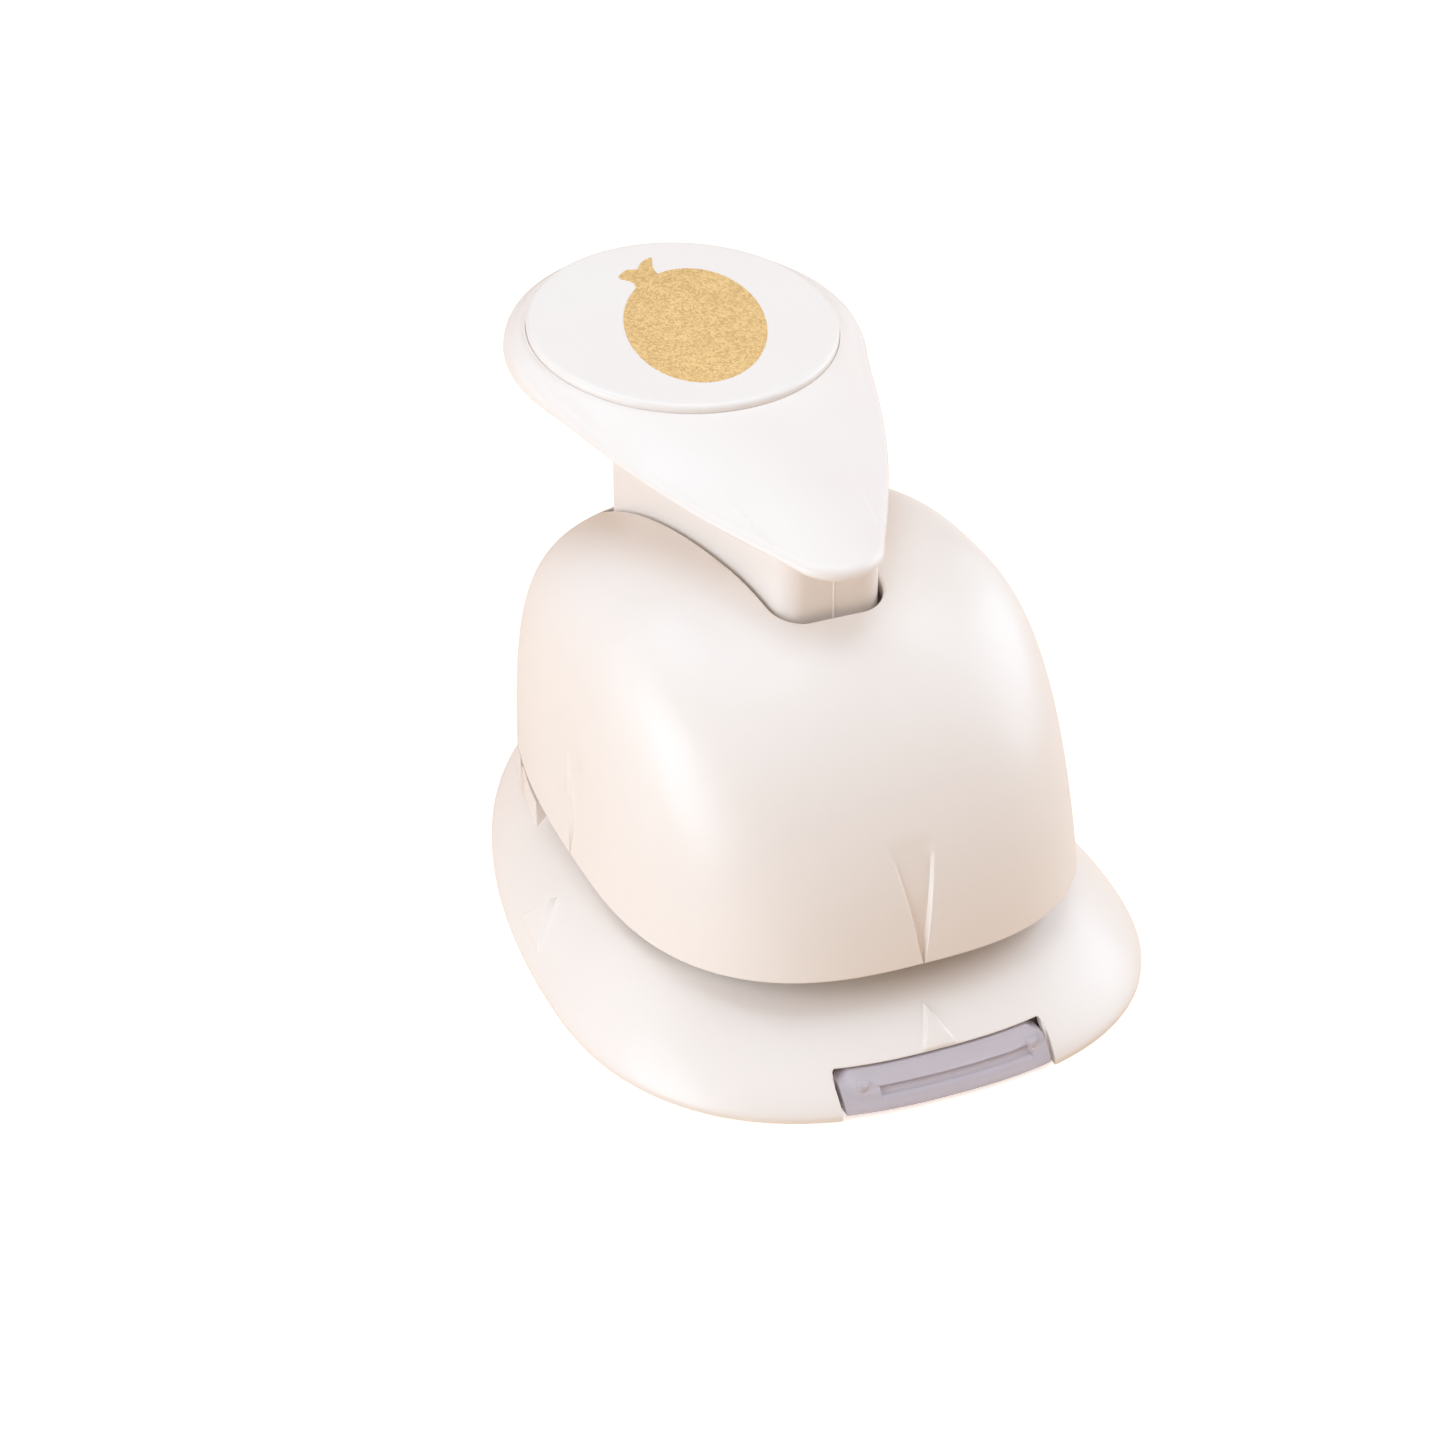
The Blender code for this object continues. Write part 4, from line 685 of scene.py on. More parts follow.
def balloon_body(centre, grow=0.0, count=FIGURE_POINTS):
    """The leaning oval: half width cos t across and half length sin t along, turned by the lean."""
    turn = np.linspace(0, 2 * math.pi, count, endpoint=False)
    along = (FIGURE_HALF_LENGTH + grow) * np.sin(turn)
    across = (FIGURE_HALF_WIDTH + grow) * np.cos(turn)
    x = across * math.cos(FIGURE_LEAN) + along * math.sin(FIGURE_LEAN)
    y = along * math.cos(FIGURE_LEAN) - across * math.sin(FIGURE_LEAN)
    return np.column_stack([centre[0] + x, centre[1] + FIGURE_BACK + y])


def offset(outline, distance):
    """Anticlockwise outline moved out by a distance, with mitred corners.

    A corner moves along the sum of its two edges' normals, by distance / cos(half the bend).
    """
    ahead = np.roll(outline, -1, 0) - outline
    ahead = ahead / np.linalg.norm(ahead, axis=1, keepdims=True)
    out_ahead = np.column_stack([ahead[:, 1], -ahead[:, 0]])
    out_back = np.roll(out_ahead, 1, 0)
    normal = out_ahead + out_back
    normal = normal / np.linalg.norm(normal, axis=1, keepdims=True)
    mitre = np.maximum((normal * out_ahead).sum(1, keepdims=True), MITRE_LIMIT)
    return outline + normal * distance / mitre


def balloon_tail(centre, grow=0.0):
    """The tail's corners about a middle, moved out by grow."""
    return offset(np.array(TAIL) + centre, grow)


print("balloon:", 2 * FIGURE_HALF_LENGTH, "by", 2 * FIGURE_HALF_WIDTH, "mm without its tail")

# %% [markdown]
# The tray's window looks out of a notch in the skirt. The notch's cutter is a stack of upright
# outlines that follow the skirt's curve one behind the other, so that its edge is softened evenly.

# %% Notch for the window
NOTCH_HALF_WIDTH = 13.1
NOTCH_HEIGHT = 4.4
NOTCH_DEPTH = 7.5
NOTCH_CORNER = 0.5
NOTCH_EDGE = 0.25
NOTCH_SILL = -2.0
NOTCH_AHEAD = 3.0
NOTCH_CLOSE = 0.02
NOTCH_COLUMNS = 60
FURTHEST_ACROSS = 0.99


def skirt_front(x, z, inset=0.0):
    """Y of the skirt's front at x and z: -front (1 - |x / half width|^n)^(1/n)."""
    half_width, front, _, _ = base_sizes(z, inset)
    share = np.clip(np.abs(x) / half_width, 0, FURTHEST_ACROSS)
    return -front * (1 - share**BASE_FRONT_POWER) ** (1 / BASE_FRONT_POWER)


def notch_ring(wider, deep):
    """Upright outline with two round upper corners, at a depth behind the skirt's skin."""
    half, top, corner = NOTCH_HALF_WIDTH + wider, NOTCH_HEIGHT + wider, NOTCH_CORNER + wider
    arc = np.radians(np.linspace(0, 90, QUARTER_POINTS))
    sill = np.linspace(-half, half, NOTCH_COLUMNS)
    head = np.linspace(half - corner, corner - half, NOTCH_COLUMNS)[1:-1]
    right, left = half - corner + corner * np.cos(arc), corner - half - corner * np.sin(arc)
    x = np.concatenate([sill, right, head, left])
    rise, fall = top - corner + corner * np.sin(arc), top - corner + corner * np.cos(arc)
    z = np.concatenate([np.full(len(sill), NOTCH_SILL), rise, np.full(len(head), top), fall])
    return np.column_stack([x, skirt_front(x, z) + deep, z])


def notch_cutter():
    """Outlines from well in front of the skin, round the edge's quarter circle and to the rear."""
    turn = np.radians(np.linspace(0, 90, BASE_EDGE_STEPS))
    grow = np.concatenate([[NOTCH_EDGE, NOTCH_EDGE], NOTCH_EDGE * (1 - np.sin(turn)), [0.0]])
    depth = NOTCH_EDGE * (1 - np.cos(turn))
    depth = np.concatenate([[-NOTCH_AHEAD, -NOTCH_CLOSE], depth, [NOTCH_DEPTH]])
    rings = [notch_ring(wider, deep) for wider, deep in zip(grow, depth)]
    return ring_solid("notch_cutter", rings[::-1])


print("notch:", 2 * NOTCH_HALF_WIDTH, "mm wide and", NOTCH_HEIGHT, "mm high")

# %% [markdown]
# Now come the holes: the recess that the die plate lies in, the opening that the punched pieces
# drop through, the hinge's bore, the notch and the screws' bores. Each cutter goes past what it
# cuts.

# %% Holes in the base
RECESS_FLOOR = 8.3
RECESS = (19.3, -12.3, 44.3, 3.3)
CHIP_HOLE_MARGIN = 0.9
HINGE_BORE = 1.3
HINGE_BORE_HALF_LENGTH = 12.0
CUT_PAST = 3.0

die_middle = (0.0, DIE_CENTRE)
opening = (TABLE_UNDERSIDE - CUT_PAST, TABLE_HEIGHT)
hinge_bore = circle((HINGE_Y, HINGE_Z), HINGE_BORE)
holes = [
    prism("recess", rounded_box(*RECESS), RECESS_FLOOR, TABLE_HEIGHT + CUT_PAST),
    prism("chip_body", balloon_body(die_middle, CHIP_HOLE_MARGIN), *opening),
    prism("chip_tail", balloon_tail(die_middle, CHIP_HOLE_MARGIN), *opening),
    cross_prism("hinge_bore", hinge_bore, -HINGE_BORE_HALF_LENGTH, HINGE_BORE_HALF_LENGTH),
    notch_cutter(),
]
holes += [
    prism(f"bore_{number}", circle(place, BORE_RADIUS), -CUT_PAST, TABLE_HEIGHT + CUT_PAST)
    for number, place in enumerate(PLATE_SCREWS + REAR_SCREWS)
]
carve(base, holes)
finish_piece(base, "body", ["base"])

# %% [markdown]
# The cover is held by four screws from below, so four blind posts hang inside it. Each ends inside
# the dome's own wall, whose height over the post is looked up with the skin's function.

# %% Posts inside the cover
FRONT_POST_BOTTOM = 14.6
REAR_POST_BOTTOM = 11.1
POST_HOLD = 8.0
POST_CUT_PAST = 1.0


def post_tools(name, place, bottom):
    """A post cut off inside the dome's wall, and its blind bore."""
    outline = circle(place, BOSS_RADIUS)
    roof = cover_skin(outline[:, 0], outline[:, 1]) - COVER_WALL / 2
    rings = stacked(outline, bottom) + [np.column_stack([outline, roof])]
    bore_ends = (bottom - POST_CUT_PAST, bottom + POST_HOLD)
    return ring_solid(name, rings), prism(f"{name}_bore", circle(place, BORE_RADIUS), *bore_ends)


posts = [
    post_tools(f"{word}_post_{number}", place, bottom)
    for word, places, bottom in (
        ("front", FRONT_SCREWS, FRONT_POST_BOTTOM),
        ("rear", REAR_SCREWS, REAR_POST_BOTTOM),
    )
    for number, place in enumerate(places)
]
carve(cover, [post for post, bore in posts], "UNION")
carve(cover, [bore for post, bore in posts])
finish_piece(cover, "body", ["top_cover"])

# %% [markdown]
# The lever is a thin teardrop plate on a hollow web. Its outline is a large and a small arc joined
# by slightly bulging sides. The plate's edge leans: from a thin lip it goes out to its widest line
# and rolls over into the top, which rises to the seat of the round pad. The same rings with a
# smaller outline make its underside.

# %% Lever plate
END_CENTRE = 44.1
END_RADIUS = 22.2
TIP_CENTRE = 0.8
TIP_RADIUS = 6.0
SIDE_BULGE = 1.4
LIP_HEIGHT = 52.0
LIP_SLOPE = 0.13
LIP_INSET = 0.45
LIP_RADIUS = 0.2
WIDEST_ABOVE_LIP = 0.6
FOLD_HEIGHT = 53.5
FOLD_SLOPE = 0.09
FOLD_BOW = 2.9
FOLD_INSET = 1.3
PLATE_SHELL = 1.2
PAD_CENTRE = 45.0
PAD_RADIUS = 19.1
PAD_HEIGHT = 61.7
PAD_TILT = math.tan(math.radians(6.6))
PAD_STAND = 0.9
SEAT_RADIUS = 19.16
SEAT_INSET = 0.01
SEAT_DROPS = (0.05, 0.45)
CROWN_SWELL = 0.22
BULGE_POWER = 1.3
ROLL_END = 80
ROLL_STEPS = 9
LIP_STEPS = 5
TIP_POINTS = 41
PLATE_SIDE_POINTS = 34
END_POINTS = 120
UNDER_RINGS = 12
CROWN_RINGS = 26


def teardrop(inset=0.0):
    """Anticlockwise outline: tip arc, right side, end arc and left side.

    A side is straight from arc to arc, moved out by bulge (4 s (1 - s))^1.3 at its share s.
    """
    big, small = END_RADIUS - inset, TIP_RADIUS - inset
    lean = math.asin((END_RADIUS - TIP_RADIUS) / (END_CENTRE - TIP_CENTRE))
    turn = -math.pi / 2 + (math.pi / 2 - lean) * np.linspace(-1, 1, TIP_POINTS)
    tip = np.column_stack([small * np.cos(turn), TIP_CENTRE + small * np.sin(turn)])
    end = np.array([big * math.cos(lean), END_CENTRE - big * math.sin(lean)])
    share = np.linspace(0, 1, PLATE_SIDE_POINTS)[1:-1, None]
    bulge = SIDE_BULGE * (4 * share * (1 - share)) ** BULGE_POWER
    side = tip[-1] + share * (end - tip[-1]) + bulge * (math.cos(lean), -math.sin(lean))
    turn = np.linspace(-lean, math.pi + lean, END_POINTS)
    far = np.column_stack([big * np.cos(turn), END_CENTRE + big * np.sin(turn)])
    return np.concatenate([tip, side, far, (side * (-1, 1))[::-1]])


def on_slope(outline, height, slope, bow=0.0):
    """Outline raised to height + slope y + bow (y / end)^2.

    Behind the end's centre it goes on with the pad's tilt.
    """
    along = np.minimum(outline[:, 1], END_CENTRE)
    z = height + slope * along + bow * (along / END_CENTRE) ** 2
    z = z + PAD_TILT * np.maximum(outline[:, 1] - END_CENTRE, 0.0)
    return np.column_stack([outline, z])


def pad_plane(y, drop=0.0):
    """Height of the pad's tilted plane at y, less a drop."""
    return PAD_HEIGHT + PAD_TILT * (y - PAD_CENTRE) - drop


def pad_ring(angle, radius, drop):
    """Ring on the pad's plane at given angles about its middle."""
    x, y = radius * np.cos(angle), PAD_CENTRE + radius * np.sin(angle)
    return np.column_stack([x, y, pad_plane(y, drop)])


def crown_rings(edge, drop, shares):
    """Rings from an edge to the pad's seat: edge + (seat - edge) s, raised by swell sin(pi s)."""
    angle = np.arctan2(edge[:, 1] - PAD_CENTRE, edge[:, 0])
    seat = pad_ring(angle, SEAT_RADIUS, PAD_STAND + drop)
    rings = []
    for share in shares:
        ring = edge + (seat - edge) * share
        ring[:, 2] += CROWN_SWELL * math.sin(math.pi * share)
        rings.append(ring)
    return rings


def plate_rings():
    """Down the underside, round the lip and the leaning edge, and up over the top to the seat."""
    inner_fold = teardrop(FOLD_INSET + PLATE_SHELL)
    inner_edge = on_slope(inner_fold, FOLD_HEIGHT - PLATE_SHELL, FOLD_SLOPE, FOLD_BOW)
    under = crown_rings(inner_edge, PLATE_SHELL, np.linspace(1, 0, UNDER_RINGS))
    turn = np.radians(np.linspace(0, 90, LIP_STEPS))
    lip_in = LIP_INSET + LIP_RADIUS * (1 - np.sin(turn))
    lip_up = LIP_RADIUS * (1 - np.cos(turn))
    lip = [on_slope(teardrop(LIP_INSET + PLATE_SHELL), LIP_HEIGHT, LIP_SLOPE)]
    lip += [on_slope(teardrop(i), LIP_HEIGHT + up, LIP_SLOPE) for i, up in zip(lip_in, lip_up)]
    widest = on_slope(teardrop(), LIP_HEIGHT + WIDEST_ABOVE_LIP, LIP_SLOPE)
    fold = on_slope(teardrop(FOLD_INSET), FOLD_HEIGHT, FOLD_SLOPE, FOLD_BOW)
    middle = (lip[-1] + widest) / 2
    rolled = []
    last = math.radians(ROLL_END)
    for angle in np.radians(np.linspace(0, ROLL_END, ROLL_STEPS)):
        across, up = 1 - math.cos(angle), math.sin(angle)
        ring = widest.copy()
        ring[:, :2] += (fold - widest)[:, :2] * across / (1 - math.cos(last))
        ring[:, 2] += (fold - widest)[:, 2] * up / math.sin(last)
        rolled.append(ring)
    angle = np.arctan2(fold[:, 1] - PAD_CENTRE, fold[:, 0])
    crown = crown_rings(fold, 0.0, np.linspace(0, 1, CROWN_RINGS)[1:])
    seat = [pad_ring(angle, SEAT_RADIUS - SEAT_INSET, PAD_STAND + drop) for drop in SEAT_DROPS]
    return under + lip + [middle] + rolled + crown + seat


lever = ring_solid("lever_plate", plate_rings())
print("lever plate:", len(lever.data.vertices), "points before its web")

# %% [markdown]
# The web under the plate reaches through the slot to the pivot pin and the presser's pin. It is a
# wedge seen from above, so it is lofted across between two copies of one side view whose points lie
# on the wedge. Its hollow is the same shape made smaller. Round corners are cut afterwards. A thin
# parting line of the mould runs down its front.

# %% Lever web
WEB_FRONT = 0.0
WEB_REAR = 39.6
WEB_WALL = 1.6
WEB_CORNER = 3.4
WEB_REAR_CORNER = 0.8
WEB_KNEE = 40.5
WEB_BOTTOM = 27.0
WEB_BOTTOM_START = 3.0
WEB_BOTTOM_RISE = (16.0, 5.0)
WEB_TOP_TURN = 22.0
WEB_TOP_DROPS = (0.24, 0.9)
WEB_SLAB = 0.9
SIDE_GAP = 0.5
PIVOT = (-7.0, 32.5)
PIVOT_BORE = 1.8
BOSS = 3.1
PRESSER = (10.0, 30.5)
PRESSER_BORE = 1.5
BORE_HALF_LENGTH = 20.0
BOSS_ARC = (120, 285)
BOSS_STEPS = 24
HOLLOW_PAST = 3.0
CORNER_PAST = 2.0
WEB_CUT_BOTTOM = 25.0
WEB_CUT_TOP = 66.0
SEAM_RADIUS = 0.16
SEAM_POINTS = 16
SEAM_DEPTH = 0.05
SEAM_START = WEB_KNEE + 0.3
SEAM_END = FOLD_HEIGHT - 1.0
LEVER_CREASE = 32


def web_profile(front, knee, bottom, boss, slab, rear):
    """Side view as (y, z) points: pivot boss, belly, rear edge, top and front."""
    turn = np.radians(np.linspace(*BOSS_ARC, BOSS_STEPS))
    arc = [(PIVOT[0] + boss * math.cos(a), PIVOT[1] + boss * math.sin(a)) for a in turn]
    rise_start, rise = WEB_BOTTOM_RISE
    front_drop, rear_drop = (drop + slab for drop in WEB_TOP_DROPS)
    top = [(y, pad_plane(y, PAD_STAND + rear_drop)) for y in (rear, WEB_TOP_TURN)]
    belly = [(WEB_BOTTOM_START, bottom), (rise_start, bottom), (rear, bottom + rise)]
    return arc + belly + top + [(front, FOLD_HEIGHT - front_drop), (front, knee)]


def wedge_solid(name, profile, inset):
    """Side view lofted across the wedge: x = +-(half width of the slot at y - inset)."""
    y, z = np.array(profile).T
    half = slot_half_width(y) - inset
    return ring_solid(name, [np.column_stack([side * half, y, z]) for side in (-1, 1)])


def corner_cutter(name, side, y, way, radius, bottom, top):
    """What rounds an upright corner of the web: a square corner less a quarter circle."""
    arc = wedge_corner(y, way, SIDE_GAP, radius)[::-way]
    far = arc[0, 0] + CORNER_PAST
    past = y - CORNER_PAST * way
    outer = np.array([(arc[-1, 0], past), (far, past), (far, arc[0, 1])])
    outline = np.concatenate([outer, arc]) * (side, 1)
    if side * way < 0:
        outline = outline[::-1]
    return prism(name, outline, bottom, top)


web_view = web_profile(WEB_FRONT, WEB_KNEE, WEB_BOTTOM, BOSS, 0.0, WEB_REAR)
web = wedge_solid("web", web_view, SIDE_GAP)
hollow_view = web_profile(
    WEB_FRONT + WEB_WALL,
    WEB_KNEE - WEB_WALL,
    WEB_BOTTOM - HOLLOW_PAST,
    BOSS + HOLLOW_PAST,
    WEB_SLAB,
    WEB_REAR + HOLLOW_PAST,
)
cutters = [wedge_solid("web_hollow", hollow_view, SIDE_GAP + WEB_WALL)]
front_corner = (WEB_FRONT, 1, WEB_CORNER, WEB_KNEE, WEB_CUT_TOP)
rear_corner = (WEB_REAR, -1, WEB_REAR_CORNER, WEB_CUT_BOTTOM, WEB_CUT_TOP)
for side in (-1, 1):
    cutters.append(corner_cutter(f"front_corner_{side}", side, *front_corner))
    cutters.append(corner_cutter(f"rear_corner_{side}", side, *rear_corner))
carve(web, cutters)
seam_outline = circle((0.0, WEB_FRONT + SEAM_DEPTH), SEAM_RADIUS, SEAM_POINTS)
carve(lever, [web, prism("seam", seam_outline, SEAM_START, SEAM_END)], "UNION")
bores = [
    cross_prism(name, circle(place, radius), -BORE_HALF_LENGTH, BORE_HALF_LENGTH)
    for name, place, radius in (
        ("pivot_bore", PIVOT, PIVOT_BORE),
        ("presser_bore", PRESSER, PRESSER_BORE),
    )
]
carve(lever, bores)
lever.name = "lever_shell"
finish_piece(lever, "lever", ["lever"], crease=LEVER_CREASE)

# %% [markdown]
# The pad is a round cap with a rolled edge that stands a little proud of the plate. Its rings all
# lie on the pad's tilted plane, at growing and shrinking radii.

# %% Pad
PAD_EDGE = 0.7
PAD_EDGE_DROP = 0.55
PAD_BOTTOM = 1.25
PAD_FOOT_INSETS = (0.5, 0.03)
PAD_TOP_RADII = (17.8, 16.0, 12.0, 6.0, 1.0)
PAD_POINTS = 192
PAD_EDGE_STEPS = 9


def pad_rings():
    """Rings up the wall, over the edge and in over the flat top.

    On the edge the radius is R - edge (1 - cos t) and the drop is edge drop (1 - sin t).
    """
    angle = np.linspace(0, 2 * math.pi, PAD_POINTS, endpoint=False)
    rings = [pad_ring(angle, PAD_RADIUS - inset, PAD_BOTTOM) for inset in PAD_FOOT_INSETS]
    for turn in np.radians(np.linspace(0, 90, PAD_EDGE_STEPS)):
        radius = PAD_RADIUS - PAD_EDGE * (1 - math.cos(turn))
        rings.append(pad_ring(angle, radius, PAD_EDGE_DROP * (1 - math.sin(turn))))
    return rings + [pad_ring(angle, radius, 0.0) for radius in PAD_TOP_RADII]


pad = ring_solid("pad_shell", pad_rings())
finish_piece(pad, "lever", ["pad_cap"])

# %% [markdown]
# The balloon on the pad shows the size and shape of the punched piece. It is stamped foil: a thin
# sheet with the cutter's own oval, whose tail is drawn more finely than a cutter could be.

# %% Foil balloon
FOIL_THICKNESS = 0.04
FOIL_POINTS = 240
FOIL_ROUNDINGS = 2
FIGURE_SHIFT = (1.15, 0.45)
FOIL_KNOT = [(0.2, 9.2), (0.0, 10.7), (0.0, 12.0), (0.3, 13.1)]
FOIL_RIGHT_FLAP = [(0.8, 14.2), (0.6, 14.6), (0.2, 14.5), (-0.9, 13.8), (-1.5, 13.1), (-1.9, 12.3)]
FOIL_LEFT_FLAP = [(-3.2, 12.8), (-4.0, 12.3), (-4.9, 11.5), (-4.8, 10.9)]
FOIL_LEFT_END = [(-3.5, 9.8), (-3.7, 8.4), (-3.0, 7.6)]


def soften(outline, times):
    """Corner cutting: each edge keeps its middle half, so the corners become curves."""
    for _ in range(times):
        ahead = np.roll(outline, -1, 0)
        pairs = [0.75 * outline + 0.25 * ahead, 0.25 * outline + 0.75 * ahead]
        outline = np.stack(pairs, 1).reshape(-1, 2)
    return outline


def foil(name, outline):
    """Sheet from one foil's thickness below the pad's plane to one above it."""
    plane = pad_plane(outline[:, 1])
    sides = [np.column_stack([outline, plane + lift]) for lift in (-FOIL_THICKNESS, FOIL_THICKNESS)]
    return ring_solid(name, sides)


pad_middle = (FIGURE_SHIFT[0], PAD_CENTRE + FIGURE_SHIFT[1])
balloon = foil("balloon_foil", balloon_body(pad_middle, count=FOIL_POINTS))
tail = np.array(FOIL_KNOT + FOIL_RIGHT_FLAP + FOIL_LEFT_FLAP + FOIL_LEFT_END)
carve(balloon, [foil("foil_tail", soften(tail, FOIL_ROUNDINGS) + pad_middle)], "UNION")
finish_piece(balloon, "lever")

# %% [markdown]
# The tray is one clear moulding. Its main part is a low pan that follows the skirt's inside, cut
# square in front of the hinge. One run of rings goes up its outside, over the rim and down inside.

# %% Tray pan
TRAY_BOTTOM = 0.6
TRAY_FLOOR = 1.0
TRAY_WALL = 1.2
TRAY_TOP = 4.0
TRAY_GAP = 0.4
TRAY_REAR = 38.6
PAN_FOOT = 0.3
PAN_BEVEL = (0.08, 0.1)
PAN_RIM = 0.2
PAN_FILLET = 0.5
PAN_FINE_STEPS = 2000
PAN_ROUND_POINTS = 321
PAN_REAR_POINTS = 40


def tray_outline(inset, rear):
    """Superellipse of the skirt's inside at the tray's top, cut square at the rear."""
    sizes = base_sizes(np.array([TRAY_TOP]), BASE_WALL + TRAY_GAP + inset)
    powers = (BASE_FRONT_POWER, BASE_REAR_POWER)
    fine = np.linspace(0, math.pi / 2, PAN_FINE_STEPS)
    last = np.interp(rear, plan_points(sizes, powers, fine)[1], fine)
    x, y = plan_points(sizes, powers, np.linspace(-math.pi - last, last, PAN_ROUND_POINTS))
    across = np.linspace(x[-1], x[0], PAN_REAR_POINTS + 2)[1:-1]
    back = np.column_stack([across, np.full(PAN_REAR_POINTS, rear)])
    return np.concatenate([np.column_stack([x, y]), back])


def tray_pan():
    """Rings at insets and heights: foot, bevel, outer wall, rim, inner wall, fillet and floor."""
    bevel_in, bevel_up = PAN_BEVEL
    stations = [
        (PAN_FOOT, TRAY_BOTTOM),
        (bevel_in, TRAY_BOTTOM + bevel_up),
        (0.0, TRAY_BOTTOM + PAN_FOOT),
        (0.0, TRAY_TOP - PAN_RIM),
        (PAN_RIM, TRAY_TOP),
        (TRAY_WALL - PAN_RIM, TRAY_TOP),
        (TRAY_WALL, TRAY_TOP - PAN_RIM),
        (TRAY_WALL, TRAY_BOTTOM + TRAY_FLOOR + PAN_FILLET),
        (TRAY_WALL + PAN_FILLET, TRAY_BOTTOM + TRAY_FLOOR),
    ]
    return [stacked(tray_outline(inset, TRAY_REAR - inset), z)[0] for inset, z in stations]


tray = ring_solid("tray_shell", tray_pan())
print("tray pan:", TRAY_TOP - TRAY_BOTTOM, "mm high,", len(tray.data.vertices), "points")

# %% [markdown]
# A window tab fills the notch in front. Its face is the skirt's own skin, moved in by a gap, so
# that both run on in one curve. Its upper corners are clipped, a ledge for a fingernail runs across
# it below the top, and a small grip stands at each end of the ledge.

# %% Tray window
WINDOW_GAP = 0.3
WINDOW_WALL = 1.3
WINDOW_DEPTH = 5.8
WINDOW_COLUMNS = 61
WINDOW_ROWS = 13
WINDOW_CLIP = (2.6, 1.4)
CLIP_PAST = (1.0, 0.6)
CLIP_FRONT = -40.0
ROOM_PAST = 3.0
LEDGE_TOP = 2.75
LEDGE_BOTTOM = 1.7
LEDGE_DEPTH = 0.7
LEDGE_ENDS = (-8.4, 10.8)
LEDGE_AHEAD = 0.5
GRIPS = (-10.2, 11.0)
GRIP_RADIUS = 0.75
GRIP_POINTS = 24
GRIP_ABOVE = 0.5
GRIP_LEAN = 0.15


def skin_solid(name, inset, heights, ends, rear=None, thickness=0.0):
    """Block between two heights and two ends whose front is the skirt's skin moved in by an inset.

    Its rear is the plane y = rear, or else the same skin again, a thickness behind the front.
    """
    x = np.linspace(*ends, WINDOW_COLUMNS)
    z = np.linspace(*heights, WINDOW_ROWS)
    grid_x, grid_z = np.meshgrid(x, z)
    grid_y = skirt_front(grid_x, grid_z, inset)
    front_face = np.stack([grid_x, grid_y, grid_z], -1)
    rear_y = grid_y + thickness if rear is None else np.full_like(grid_x, rear)
    back_face = np.stack([grid_x, rear_y, grid_z], -1)
    rings = np.concatenate([front_face, back_face[:, ::-1]], axis=1)
    return ring_solid(name, rings)


def corner_clip(side, half, rear):
    """Three-sided bar along Y that takes off one upper corner of the window."""
    clip_x, clip_z = WINDOW_CLIP
    past_x, past_z = half + CLIP_PAST[0], TRAY_TOP + CLIP_PAST[1]
    corner = np.array([(half - clip_x, past_z), (past_x, past_z), (past_x, TRAY_TOP - clip_z)])
    x, z = (corner * (side, 1))[::side].T
    rings = [np.column_stack([x, np.full(3, y), z]) for y in (CLIP_FRONT, rear + CLIP_PAST[0])]
    return ring_solid(f"clip_{side}", rings)


def grip(number, x):
    """Short upright post just behind the skin at x."""
    place = (x, skirt_front(x, 0.0) + SLOPE_FRONT_REACH * GRIP_LEAN + WINDOW_GAP)
    outline = circle(place, GRIP_RADIUS, GRIP_POINTS)
    return prism(f"grip_{number}", outline, LEDGE_BOTTOM, LEDGE_TOP + GRIP_ABOVE)


window_half = NOTCH_HALF_WIDTH - WINDOW_GAP
window_rear = WINDOW_GAP + WINDOW_DEPTH - BASE_FRONT
window_ends = (-window_half, window_half)
window_heights = (TRAY_BOTTOM, NOTCH_HEIGHT - WINDOW_GAP)
window = skin_solid("window", WINDOW_GAP, window_heights, window_ends, window_rear)
carve(tray, [window], "UNION")

inner_half = window_half - WINDOW_WALL
room_inset = WINDOW_GAP + WINDOW_WALL
room_heights = (TRAY_BOTTOM + TRAY_FLOOR, TABLE_HEIGHT)
room_ends = (-inner_half, inner_half)
room = skin_solid("room", room_inset, room_heights, room_ends, window_rear + ROOM_PAST)
ledge_heights = (LEDGE_BOTTOM, LEDGE_TOP)
ledge_reach = LEDGE_AHEAD + WINDOW_GAP + LEDGE_DEPTH
ledge = skin_solid("ledge", -LEDGE_AHEAD, ledge_heights, LEDGE_ENDS, thickness=ledge_reach)
carve(tray, [room, ledge] + [corner_clip(side, window_half, window_rear) for side in (-1, 1)])
for number, x in enumerate(GRIPS):
    carve(tray, [grip(number, x)], "UNION")
print("window:", round(2 * window_half, 1), "mm wide, with", len(GRIPS), "grips")

# %% [markdown]
# Two knuckles at the rear carry pins that turn in the brackets under the base, so the tray swings
# down to be emptied.

# %% Tray hinge
KNUCKLE_RADIUS = 1.8
KNUCKLE = (3.0, 6.0)
KNUCKLE_STEPS = 17
TRAY_PIN_RADIUS = 1.0

